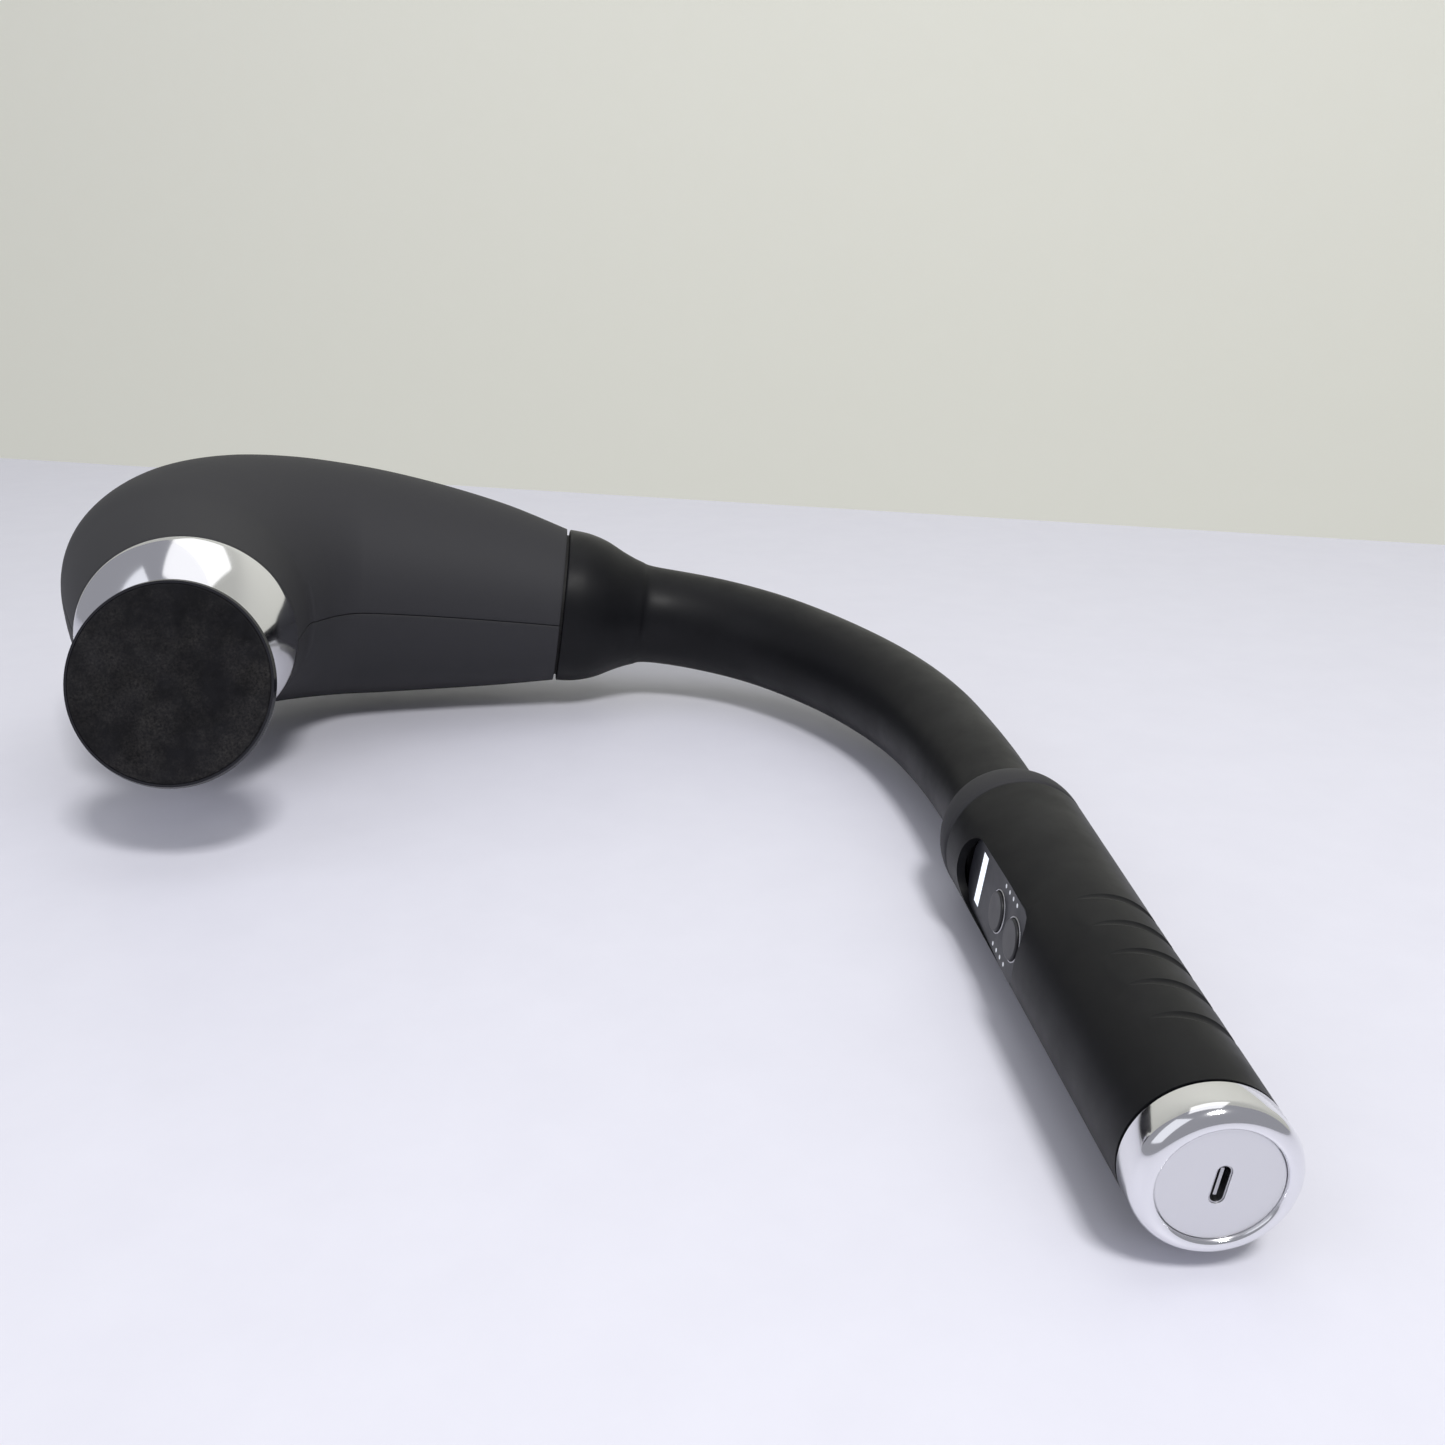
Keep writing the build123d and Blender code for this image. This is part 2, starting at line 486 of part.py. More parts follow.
panel = panel_slab(PANEL_LEN - 0.3, PANEL_WIDTH - 0.3, FACET - PANEL_THICK, FACET)
panel -= Pos(-FACET, 0, panel_mid + WINDOW_SPOT) * Box(10, WINDOW[1] + 0.1, WINDOW[0] + 0.1)
for spot in BUTTON_SPOTS:
    panel -= Pos(-FACET, 0, panel_mid + spot) * Rot(0, 90, 0) * Cylinder(BUTTON_R + 0.15, 10)
LIGHTS = [(side * (PANEL_WIDTH / 2 - 1.9), 6.0 + 3.6 * k) for side in (-1, 1) for k in range(4)]
for y, z in LIGHTS:
    panel -= Pos(-FACET, y, panel_mid + z - 2) * Rot(0, 90, 0) * Cylinder(0.6, 3)
control_panel = GRIP * panel
indicator_lights = [
    GRIP * Pos(-FACET + 0.75, y, panel_mid + z - 2) * Rot(0, 90, 0) * Cylinder(0.6, 1.5) for y, z in LIGHTS
]
display_bar = GRIP * Pos(-FACET + PANEL_THICK / 2, 0, panel_mid + WINDOW_SPOT) * Box(PANEL_THICK, WINDOW[1], WINDOW[0])


def push_button(spot):
    """A round button cap with a stem that reaches its switch. It travels into the grip."""
    base = -FACET + PANEL_THICK - BUTTON_TRAVEL - 0.15
    front = -FACET - BUTTON_LIFT
    middle = (base + front) / 2
    cap = Pos(middle, 0, panel_mid + spot) * Rot(0, 90, 0) * Cylinder(BUTTON_R, base - front)
    cap = fillet(cap.edges().sort_by(Axis.X)[0], 0.5)
    stem_len = 0.8
    return cap + Pos(base + stem_len / 2, 0, panel_mid + spot) * Rot(0, 90, 0) * Cylinder(2.4, stem_len)


speed_button = GRIP * push_button(BUTTON_SPOTS[0])
power_button = GRIP * push_button(BUTTON_SPOTS[1])
button_root = -FACET + PANEL_THICK - BUTTON_TRAVEL - 0.15 + 0.8
BOARD_FACE = -FACET + PANEL_THICK + 1.8
board = block(BOARD_FACE, BOARD_FACE + 1.4, -7.5, 7.5, panel_mid - 25, panel_mid + 25)
control_board = GRIP * board
button_switches = [
    GRIP * block(button_root + BUTTON_TRAVEL + 0.1, BOARD_FACE, -2, 2, panel_mid + spot - 2, panel_mid + spot + 2)
    for spot in BUTTON_SPOTS
]

# Two cells end to end in an open cradle
CELL_X = 3.2
CELL_START = SLEEVE_TOP + 14.0
CRADLE_LEN = 2 * CELL_LEN + 9.0
cell = Cylinder(CELL_R, CELL_LEN - 1) + Pos(0, 0, CELL_LEN / 2) * Cylinder(3.0, 1)
cell = fillet(cell.edges().group_by(Axis.Z)[0], 0.8)
battery_cells = [
    GRIP * Pos(CELL_X, 0, CELL_START + 3 + CELL_LEN * (k + 0.5) + k) * cell for k in range(2)
]
cradle = Cylinder(CELL_R + 1.5, CRADLE_LEN) - Cylinder(CELL_R + 0.1, CRADLE_LEN - 4)
cradle = Pos(CELL_X, 0, CELL_START + CRADLE_LEN / 2) * cradle
cradle -= block(-30, CELL_X - 2.0, -30, 30, CELL_START - 1, CELL_START + CRADLE_LEN + 1)



def inner_radius(height):
    """Inner radius of the grip's tapering wall at a height below the shoulder."""
    share = (height - SLEEVE_TOP) / GRIP_LEN
    return (SHOULDER_R - wall) + (GRIP_END_R - GRIP_WALL - SHOULDER_R + wall) * share


for end in (CELL_START, CELL_START + CRADLE_LEN - 2.0):
    spacer = rod_at(inner_radius(end + 2.0) - 0.05, end, end + 2.0)
    cradle += spacer & block(BOARD_FACE + 2.0, 30, -30, 30, end - 1, end + 3)
cradle -= Pos(CELL_X, 0, CELL_START + 1) * Cylinder(3.6, 4)
battery_cradle = GRIP * cradle

# ---- End of the grip --------------------------------------------------------------------------------------
RING_START = SLEEVE_END + 0.3
RING_END = RING_START + RING_LEN
ring_profile = make_face(
    Polyline((GRIP_END_R - GRIP_WALL - 0.1, 0, RING_START), (GRIP_END_R - 0.3, 0, RING_START),
             (GRIP_END_R, 0, RING_START + 0.6), (GRIP_END_R - 0.2, 0, RING_END - 3.2))
    + ThreePointArc((GRIP_END_R - 0.2, 0, RING_END - 3.2), (GRIP_END_R - 1.1, 0, RING_END - 0.9),
                    (GRIP_END_R - 3.0, 0, RING_END))
    + Polyline((GRIP_END_R - 3.0, 0, RING_END), (PLATE_R + 0.1, 0, RING_END - 0.5), (PLATE_R + 0.1, 0, RING_END - 3.0),
               (PLATE_R - 1.6, 0, RING_END - 3.0), (PLATE_R - 1.6, 0, RING_START - 5),
               (GRIP_END_R - GRIP_WALL - 0.1, 0, RING_START - 5), (GRIP_END_R - GRIP_WALL - 0.1, 0, RING_START))
)
end_ring = GRIP * revolve(ring_profile, Axis.Z)
slot = SlotOverall(PORT_W + 0.1, PORT_H + 0.1, rotation=90)
plate = rod_at(PLATE_R, RING_END - 3.0, RING_END - 1.0)
plate = fillet(plate.edges().group_by(Axis.Z)[-1], 0.3)
plate -= Pos(0, 0, RING_END - 5) * extrude(slot, 8)
end_plate = GRIP * plate
PORT_LEN = 7.3
port = extrude(SlotOverall(PORT_W, PORT_H, rotation=90), PORT_LEN)
port -= Pos(0, 0, 1.0) * extrude(SlotOverall(PORT_W - 0.6, PORT_H - 0.6, rotation=90), PORT_LEN)
port += Pos(0, 0, PORT_LEN / 2) * Box(0.7, PORT_W - 2.6, PORT_LEN - 1.6)
charge_port = GRIP * Pos(0, 0, RING_END - 1.2 - PORT_LEN) * port
board_top = RING_END - 1.2 - PORT_LEN
charge_board = GRIP * rod_at(PLATE_R - 1.65, board_top - 1.5, board_top)

# ---- Wiring -----------------------------------------------------------------------------------------------
wire_harness = sweep(Plane(origin=ARM @ 0, x_dir=(0, 0, 1), z_dir=ARM % 0) * Circle(HARNESS_R), path=ARM)

# ---- How the massager lies down ---------------------------------------------------------------------------
def resting_spheres():
    """Spheres (x, y, radius) that stand for the underside of the head, of the arm and of the grip's end."""
    head = []
    for share, centre, _, height in BODY_STATIONS:
        head.append((-share * HEAD_LENGTH, centre, height * SEAM_R))
    for angle, inner, outer, height in ELBOW_STATIONS:
        fan = radians(angle)
        middle = (inner + outer) / 2
        head.append((PIVOT[0] - middle * sin(fan), PIVOT[1] + middle * cos(fan), height * HEAD_HALF))
    arm = []
    steps = len(ARM_RADII) - 1
    for index in range(8 * steps + 1):
        low = min(index // 8, steps - 1)
        radius = ARM_RADII[low] + (ARM_RADII[low + 1] - ARM_RADII[low]) * (index / 8 - low)
        reach = NECK_LEN + (ARM_LENGTH - CORE_PAST - NECK_LEN) * index / (8 * steps)
        spot = ARM @ ((reach + 8) / ARM.length)
        arm.append((spot.X, spot.Y, radius))
    end = (GRIP * Pos(0, 0, RING_END - 3.2)).position
    return head, arm, [(end.X, end.Y, GRIP_END_R - 0.2)]


def resting_normal():
    """Upward direction of the plane on which one sphere of each group rests."""
    up = Vector(0, 0, 1)
    for _ in range(8):
        a, b, c = [min(group, key=lambda s: s[0] * up.X + s[1] * up.Y - s[2]) for group in resting_spheres()]
        x1, y1, r1 = b[0] - a[0], b[1] - a[1], b[2] - a[2]
        x2, y2, r2 = c[0] - a[0], c[1] - a[1], c[2] - a[2]
        scale = x1 * y2 - x2 * y1
        lean_x = (r1 * y2 - r2 * y1) / scale
        lean_y = (x1 * r2 - x2 * r1) / scale
        up = Vector(lean_x, lean_y, sqrt(1 - lean_x**2 - lean_y**2))
    return up


up = resting_normal()
LEVEL = Plane(origin=(0, 0, 0), x_dir=Vector(1, 0, 0) - up * up.X, z_dir=up).location.inverse()
OUTSIDE = [head_shell_upper, head_shell_lower, arm_sleeve, shoulder_collar, grip_sleeve, end_ring, disc_base]
skin = [tuple(point) for piece in OUTSIDE for point in (LEVEL * piece).tessellate(0.01, 0.1)[0]]
low = [min(point[k] for point in skin) for k in range(3)]
high = [max(point[k] for point in skin) for k in range(3)]
REST = Pos(-(low[0] + high[0]) / 2, -(low[1] + high[1]) / 2, -low[2]) * LEVEL

NODES = {
    "head_shell_upper": head_shell_upper,
    "head_shell_lower": head_shell_lower,
    "head_screws": head_screws,
    "chrome_collar": chrome_collar,
    "collar_seal": collar_seal,
    "front_bush": front_bush,
    "wiper_seal": wiper_seal,
    "plunger": plunger,
    "wrist_pin": wrist_pin,
    "ball_stud": ball_stud,
    "socket_liner": socket_liner,
    "disc_base": disc_base,
    "disc_pad": disc_pad,
    "socket_ring": socket_ring,
    "socket_ring_screws": socket_ring_screws,
    "connecting_rod": connecting_rod,
    "rod_bearing": rod_bearing,
    "crank_pin": crank_pin,
    "crank_wheel": crank_wheel,
    "counterweight": counterweight,
    "motor_shaft": motor_shaft,
    "motor_can": motor_can,
    "motor_end_cap": motor_end_cap,
    "motor_tabs": motor_tabs,
    "motor_screws": motor_screws,
    "drive_chassis": drive_chassis,
    "rear_bush": rear_bush,
    "shaft_bearing": shaft_bearing,
    "neck_flange": neck_flange,
    "arm_core": arm_core,
    "arm_sleeve": arm_sleeve,
    "wire_harness": wire_harness,
    "shoulder_collar": shoulder_collar,
    "shoulder_ring": shoulder_ring,
    "grip_sleeve": grip_sleeve,
    "control_panel": control_panel,
    "display_bar": display_bar,
    "speed_button": speed_button,
    "power_button": power_button,
    "indicator_lights": indicator_lights,
    "control_board": control_board,
    "button_switches": button_switches,
    "battery_cells": battery_cells,
    "battery_cradle": battery_cradle,
    "end_ring": end_ring,
    "end_plate": end_plate,
    "charge_port": charge_port,
    "charge_board": charge_board,
}

for name, piece in NODES.items():
    solids = piece if isinstance(piece, list) else [piece]
    placed = [solid for part in solids for solid in (REST * part).solids()]
    export_step(Compound(placed) if len(placed) > 1 else placed[0], f"parts/{name}.step")
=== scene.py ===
"""Looks of a hook-shaped handheld massager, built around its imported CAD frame."""

import json
import logging
import math
from dataclasses import astuple, dataclass, field
from enum import Enum
from typing import Sequence

import bmesh
import bpy
from mathutils import Matrix, Vector

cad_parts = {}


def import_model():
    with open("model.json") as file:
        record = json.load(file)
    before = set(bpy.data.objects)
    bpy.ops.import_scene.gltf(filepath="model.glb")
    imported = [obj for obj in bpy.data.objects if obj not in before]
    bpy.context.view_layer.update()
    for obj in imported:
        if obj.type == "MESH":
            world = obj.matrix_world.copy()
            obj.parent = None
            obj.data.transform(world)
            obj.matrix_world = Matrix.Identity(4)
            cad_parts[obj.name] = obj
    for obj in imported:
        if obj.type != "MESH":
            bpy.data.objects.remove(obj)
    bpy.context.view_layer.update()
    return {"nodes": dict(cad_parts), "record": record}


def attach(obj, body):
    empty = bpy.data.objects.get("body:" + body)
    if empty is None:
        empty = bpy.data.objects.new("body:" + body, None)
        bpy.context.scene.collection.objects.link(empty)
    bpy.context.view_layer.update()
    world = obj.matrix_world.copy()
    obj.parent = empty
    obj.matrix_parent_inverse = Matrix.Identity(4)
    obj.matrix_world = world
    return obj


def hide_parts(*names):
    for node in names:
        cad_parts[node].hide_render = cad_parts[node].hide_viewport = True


LOG = logging.getLogger("massager")
MM = 0.001
Point = tuple[float, float]
Profile = list[Point]


def basis(x_dir: Vector, y_dir: Vector, z_dir: Vector, origin: Vector) -> Matrix:
    """A placement from three axes and an origin.

    Args:
        x_dir: First axis.
        y_dir: Second axis.
        z_dir: Third axis.
        origin: Where the axes meet.

    Returns:
        The placement as a 4 by 4 matrix.
    """
    return Matrix.LocRotScale(origin, Matrix((x_dir, y_dir, z_dir)).transposed(), None)


# Lean of the collar's axis and centre of the head's mouth, in the hook frame, in millimetres
TOE_IN = math.radians(12.5)
MOUTH = Vector((-130.6, -95.0, 0.0))


@dataclass(frozen=True)
class Places:
    """Placements of the sub-assemblies in the row frame, all in metres.

    Args:
        hook: The hook's own frame, centred on the neck joint, with X towards the arm.
        tip: Collar axis, from the head's mouth towards the disc.
        face: Disc axis, from the ball's centre out through the pad.
        grip: Grip axis, from the shoulder towards the charging end.
    """

    hook: Matrix
    tip: Matrix
    face: Matrix
    grip: Matrix

    @staticmethod
    def read(record: dict) -> "Places":
        """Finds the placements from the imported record.

        Args:
            record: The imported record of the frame.

        Returns:
            The placements.
        """
        joints = {j["name"]: j for j in record["behaviour"]["joints"]}
        mounts = {m["name"]: m for m in record["mounts"]}
        slide, pan, tilt = joints["plunger_slide"], joints["disc_pan"], joints["disc_tilt"]
        out = Vector(slide["axis"])
        upright = Vector(pan["axis"])
        tip = basis(upright.cross(out), upright, out, Vector(slide["pos_m"]))
        hook = tip @ Matrix.Rotation(-math.pi / 2, 4, "X") @ Matrix.Rotation(-TOE_IN, 4, "Z")
        hook = hook @ Matrix.Translation(-MOUTH * MM)
        front = Vector(mounts["disc_face"]["axis"])
        side = Vector(tilt["axis"])
        face = basis(side, front.cross(side), front, Vector(tilt["pos_m"]))
        along = Vector(mounts["charge_socket"]["axis"])
        inward = Vector(joints["speed_press"]["axis"])
        end = Vector(mounts["charge_socket"]["pos_m"])
        grip = basis(inward, along.cross(inward), along, end - along * Grip.SOCKET_AT * MM)
        return Places(hook, tip, face, grip)


# ---- Finishes ------------------------------------------------------------------------------------


class Surface(Enum):
    """The kinds of surface grain a finish can have."""

    MOULDED = "moulded"
    SOFT_TOUCH = "soft touch"
    POLISHED = "polished"
    DUSTY = "dusty"
    MACHINED = "machined"


@dataclass(frozen=True)
class Grain:
    """Sizes of a surface grain.

    Args:
        scale: Fineness of the bump, in waves per metre.
        depth: Height of the bump, in metres.
        mottle: Fineness of the broad colour change, in waves per metre.
        stretch: How much longer the grain is along X than across it.
    """

    scale: float
    depth: float
    mottle: float
    stretch: float = 1.0


GRAINS: dict[Surface, Grain] = {
    Surface.MOULDED: Grain(2600.0, 0.000012, 38.0),
    Surface.SOFT_TOUCH: Grain(4200.0, 0.00002, 26.0),
    Surface.POLISHED: Grain(900.0, 0.000002, 60.0),
    Surface.DUSTY: Grain(1500.0, 0.00005, 90.0),
    Surface.MACHINED: Grain(3000.0, 0.000008, 70.0, 12.0),
}


@dataclass(frozen=True)
class Finish:
    """One finish: its colours, gloss and grain.

    Args:
        name: Name of the material.
        dark: Colour of the darker patches, linear RGB.
        light: Colour of the lighter patches, linear RGB.
        surface: Kind of grain.
        rough: Lowest and highest roughness.
        metallic: Share of metal.
        coat: Clear coat weight.
        dust: Share of the surface with a pale dust film.
        glow: Strength of its own light.
        specular: Strength of the plain reflection, 0.5 for most plastics.
    """

    name: str
    dark: tuple[float, float, float]
    light: tuple[float, float, float]
    surface: Surface
    rough: tuple[float, float]
    metallic: float = 0.0
    coat: float = 0.0
    dust: float = 0.0
    glow: float = 0.0
    specular: float = 0.5

    def material(self) -> bpy.types.Material:
        """Builds the material, or returns it if it is already there.

        Returns:
            The material of this finish.
        """
        found = bpy.data.materials.get(self.name)
        if found:
            return found
        made = bpy.data.materials.new(self.name)
        made.use_nodes = True
        tree = made.node_tree
        tree.nodes.clear()
        grain = GRAINS[self.surface]
        output = tree.nodes.new("ShaderNodeOutputMaterial")
        shader = tree.nodes.new("ShaderNodeBsdfPrincipled")
        tree.links.new(shader.outputs["BSDF"], output.inputs["Surface"])
        coords = tree.nodes.new("ShaderNodeTexCoord")
        mapping = tree.nodes.new("ShaderNodeMapping")
        mapping.inputs["Scale"].default_value = (1.0 / grain.stretch, 1.0, 1.0)
        tree.links.new(coords.outputs["Object"], mapping.inputs["Vector"])
        broad = self._noise(tree, mapping, grain.mottle, 6.0, 0.62)
        fine = self._noise(tree, mapping, grain.scale, 3.0, 0.55)
        ramp = tree.nodes.new("ShaderNodeValToRGB")
        ramp.color_ramp.elements[0].position = 0.32
        ramp.color_ramp.elements[1].position = 0.7
        ramp.color_ramp.elements[0].color = (*self.dark, 1.0)
        ramp.color_ramp.elements[1].color = (*self.light, 1.0)
        tree.links.new(broad.outputs["Fac"], ramp.inputs["Fac"])
        colour = ramp.outputs["Color"]
        if self.dust:
            colour = self._dusted(tree, mapping, colour, grain)
        tree.links.new(colour, shader.inputs["Base Color"])
        spread = tree.nodes.new("ShaderNodeMapRange")
        spread.inputs["From Min"].default_value = 0.3
        spread.inputs["From Max"].default_value = 0.7
        spread.inputs["To Min"].default_value = self.rough[0]
        spread.inputs["To Max"].default_value = self.rough[1]
        smudge = self._noise(tree, mapping, grain.mottle * 2.3, 5.0, 0.6)
        tree.links.new(smudge.outputs["Fac"], spread.inputs["Value"])
        tree.links.new(spread.outputs["Result"], shader.inputs["Roughness"])
        bump = tree.nodes.new("ShaderNodeBump")
        bump.inputs["Strength"].default_value = 0.6
        bump.inputs["Distance"].default_value = grain.depth
        tree.links.new(fine.outputs["Fac"], bump.inputs["Height"])
        tree.links.new(bump.outputs["Normal"], shader.inputs["Normal"])
        shader.inputs["Metallic"].default_value = self.metallic
        shader.inputs["Coat Weight"].default_value = self.coat
        shader.inputs["Coat Roughness"].default_value = 0.08
        shader.inputs["Specular IOR Level"].default_value = self.specular
        if self.glow:
            shader.inputs["Emission Color"].default_value = (*self.light, 1.0)
            shader.inputs["Emission Strength"].default_value = self.glow
        return made

    def _noise(
        self, tree: bpy.types.NodeTree, mapping: bpy.types.Node, scale: float, detail: float, rough: float
    ) -> bpy.types.Node:
        """Adds a noise texture.

        Args:
            tree: Node tree of the material.
            mapping: Node that gives its coordinates.
            scale: Waves per metre.
            detail: Number of octaves.
            rough: Strength of the finer octaves.

        Returns:
            The noise node.
        """
        noise = tree.nodes.new("ShaderNodeTexNoise")
        noise.inputs["Scale"].default_value = scale
        noise.inputs["Detail"].default_value = detail
        noise.inputs["Roughness"].default_value = rough
        tree.links.new(mapping.outputs["Vector"], noise.inputs["Vector"])
        return noise

    def _dusted(
        self, tree: bpy.types.NodeTree, mapping: bpy.types.Node, colour: bpy.types.NodeSocket, grain: Grain
    ) -> bpy.types.NodeSocket:
        """Lays a broken film of pale dust over a colour.

        Args:
            tree: Node tree of the material.
            mapping: Node that gives the coordinates.
            colour: Colour under the dust.
            grain: Grain of the surface.

        Returns:
            The dusted colour.
        """
        film = self._noise(tree, mapping, grain.mottle * 0.55, 9.0, 0.72)
        speck = self._noise(tree, mapping, grain.mottle * 14.0, 2.0, 0.7)
        mask = tree.nodes.new("ShaderNodeMath")
        mask.operation = "MULTIPLY"
        film_range = tree.nodes.new("ShaderNodeMapRange")
        film_range.inputs["From Min"].default_value = 0.42
        film_range.inputs["From Max"].default_value = 0.72
        speck_range = tree.nodes.new("ShaderNodeMapRange")
        speck_range.inputs["From Min"].default_value = 0.3
        speck_range.inputs["From Max"].default_value = 0.75
        speck_range.inputs["To Max"].default_value = self.dust
        tree.links.new(film.outputs["Fac"], film_range.inputs["Value"])
        tree.links.new(speck.outputs["Fac"], speck_range.inputs["Value"])
        tree.links.new(film_range.outputs["Result"], mask.inputs[0])
        tree.links.new(speck_range.outputs["Result"], mask.inputs[1])
        mix = tree.nodes.new("ShaderNodeMix")
        mix.data_type = "RGBA"
        mix.inputs[7].default_value = (0.42, 0.39, 0.36, 1.0)
        tree.links.new(mask.outputs["Value"], mix.inputs[0])
        tree.links.new(colour, mix.inputs[6])
        return mix.outputs[2]


SHELL = Finish(
    "shell_black", (0.0022, 0.0025, 0.0046), (0.0042, 0.0048, 0.0082),
    Surface.MOULDED, (0.34, 0.46), specular=0.17,
)
SOFT = Finish(
    "soft_touch_black", (0.0032, 0.0034, 0.0046), (0.006, 0.0062, 0.0078),
    Surface.SOFT_TOUCH, (0.4, 0.52), specular=0.2,
)
GLOSS = Finish(
    "gloss_black", (0.006, 0.006, 0.007), (0.011, 0.011, 0.012),
    Surface.POLISHED, (0.06, 0.14), coat=0.6,
)
PANEL = Finish(
    "panel_glass", (0.02, 0.021, 0.026), (0.032, 0.033, 0.04),
    Surface.POLISHED, (0.34, 0.44), specular=0.26,
)
KEY = Finish(
    "key_satin", (0.02, 0.02, 0.023), (0.035, 0.035, 0.038),
    Surface.MOULDED, (0.3, 0.4), specular=0.3,
)
PAD = Finish(
    "pad_felted", (0.0022, 0.0022, 0.003), (0.0075, 0.0075, 0.0095),
    Surface.DUSTY, (0.6, 0.85), dust=0.1, specular=0.16,
)
GAP = Finish("joint_black", (0.003, 0.003, 0.003), (0.006, 0.006, 0.006), Surface.MOULDED, (0.6, 0.75))
CHROME = Finish(
    "chrome", (0.76, 0.76, 0.76), (0.86, 0.86, 0.86),
    Surface.POLISHED, (0.05, 0.11), metallic=1.0,
)
SATIN = Finish(
    "satin_plate", (0.84, 0.84, 0.87), (0.9, 0.9, 0.93),
    Surface.MACHINED, (0.34, 0.46), metallic=0.25,
)
STEEL = Finish(
    "ground_steel", (0.42, 0.42, 0.44), (0.6, 0.6, 0.61),
    Surface.MACHINED, (0.22, 0.36), metallic=1.0,
)
ZINC = Finish(
    "zinc_plate", (0.45, 0.46, 0.44), (0.66, 0.65, 0.6),
    Surface.MACHINED, (0.3, 0.42), metallic=1.0,
)
BRASS = Finish(
    "turned_brass", (0.52, 0.36, 0.15), (0.72, 0.53, 0.25),
    Surface.MACHINED, (0.2, 0.34), metallic=1.0,
)
ALLOY = Finish(
    "blasted_alloy", (0.42, 0.43, 0.45), (0.58, 0.59, 0.6),
    Surface.MOULDED, (0.4, 0.52), metallic=0.95,
)
NYLON = Finish("natural_nylon", (0.68, 0.66, 0.6), (0.82, 0.8, 0.74), Surface.MOULDED, (0.4, 0.55))
TRAY = Finish("tray_grey", (0.1, 0.1, 0.105), (0.17, 0.17, 0.175), Surface.MOULDED, (0.45, 0.6))
BOARD = Finish(
    "solder_mask", (0.01, 0.09, 0.035), (0.02, 0.15, 0.06),
    Surface.MOULDED, (0.25, 0.4), coat=0.3,
)
WRAP = Finish("cell_wrap", (0.03, 0.1, 0.24), (0.05, 0.16, 0.34), Surface.POLISHED, (0.2, 0.32))
LIT = Finish("lit_window", (0.55, 0.6, 0.68), (0.82, 0.87, 0.95), Surface.MOULDED, (0.2, 0.3), glow=0.9)
DOT = Finish("pilot_light", (0.5, 0.52, 0.55), (0.75, 0.77, 0.8), Surface.MOULDED, (0.2, 0.3), glow=0.25)

NODE_FINISHES: dict[str, Finish] = {
    "head_screws": ZINC,
    "collar_seal": GAP,
    "front_bush": BRASS,
    "wiper_seal": GAP,
    "plunger": STEEL,
    "wrist_pin": STEEL,
    "ball_stud": STEEL,
    "socket_liner": NYLON,
    "disc_base": GLOSS,
    "socket_ring": GLOSS,
    "socket_ring_screws": ZINC,
    "connecting_rod": ALLOY,
    "rod_bearing": BRASS,
    "crank_pin": STEEL,
    "crank_wheel": STEEL,
    "counterweight": BRASS,
    "motor_shaft": STEEL,
    "motor_can": ZINC,
    "motor_end_cap": NYLON,
    "motor_tabs": BRASS,
    "motor_screws": ZINC,
    "drive_chassis": ALLOY,
    "rear_bush": BRASS,
    "shaft_bearing": BRASS,
    "neck_flange": GAP,
    "arm_core": ALLOY,
    "wire_harness": GAP,
    "shoulder_ring": GLOSS,
    "grip_sleeve": SOFT,
    "control_panel": PANEL,
    "display_bar": LIT,
    "speed_button": KEY,
    "power_button": KEY,
    "indicator_lights": DOT,
    "control_board": BOARD,
    "button_switches": GAP,
    "battery_cells": WRAP,
    "battery_cradle": TRAY,
    "end_plate": SATIN,
    "charge_port": STEEL,
    "charge_board": BOARD,
}


# ---- Mesh tools ----------------------------------------------------------------------------------


def arc(start: Point, via: Point, end: Point, count: int) -> Profile:
    """Points on the circle through three points, from the first to the last.

    Args:
        start: First point.
        via: A point between.
        end: Last point.
        count: Number of points.

    Returns:
        The points, ends included.
    """
    ax, ay, bx, by, cx, cy = *start, *via, *end
    d = 2 * (ax * (by - cy) + bx * (cy - ay) + cx * (ay - by))
    ux = ((ax**2 + ay**2) * (by - cy) + (bx**2 + by**2) * (cy - ay) + (cx**2 + cy**2) * (ay - by)) / d
    uy = ((ax**2 + ay**2) * (cx - bx) + (bx**2 + by**2) * (ax - cx) + (cx**2 + cy**2) * (bx - ax)) / d
    radius = math.hypot(ax - ux, ay - uy)
    first = math.atan2(ay - uy, ax - ux)
    last = math.atan2(cy - uy, cx - ux)
    if last - first > math.pi:
        last -= 2 * math.pi
    if first - last > math.pi:
        last += 2 * math.pi
    angles = [first + (last - first) * k / (count - 1) for k in range(count)]
    return [(ux + radius * math.cos(a), uy + radius * math.sin(a)) for a in angles]


def lathe(profile: Profile, steps: int = 144) -> bmesh.types.BMesh:
    """Spins a closed outline of (radius, height) points about Z.

    Args:
        profile: Outline in millimetres.
        steps: Number of faces round the axis.

    Returns:
        The closed mesh, in millimetres.
    """
    mesh = bmesh.new()
    points = [mesh.verts.new((max(r, 0.0), 0.0, z)) for r, z in profile]
    pairs = zip(points, points[1:] + points[:1])
    edges = [mesh.edges.new((a, b)) for a, b in pairs if not (a.co.x == b.co.x == 0)]
    bmesh.ops.spin(
        mesh,
        geom=points + edges,
        cent=(0, 0, 0),
        axis=(0, 0, 1),
        angle=2 * math.pi,
        steps=steps,
        use_merge=True,
    )
    bmesh.ops.remove_doubles(mesh, verts=mesh.verts, dist=0.0005)
    bmesh.ops.recalc_face_normals(mesh, faces=mesh.faces)
    return mesh


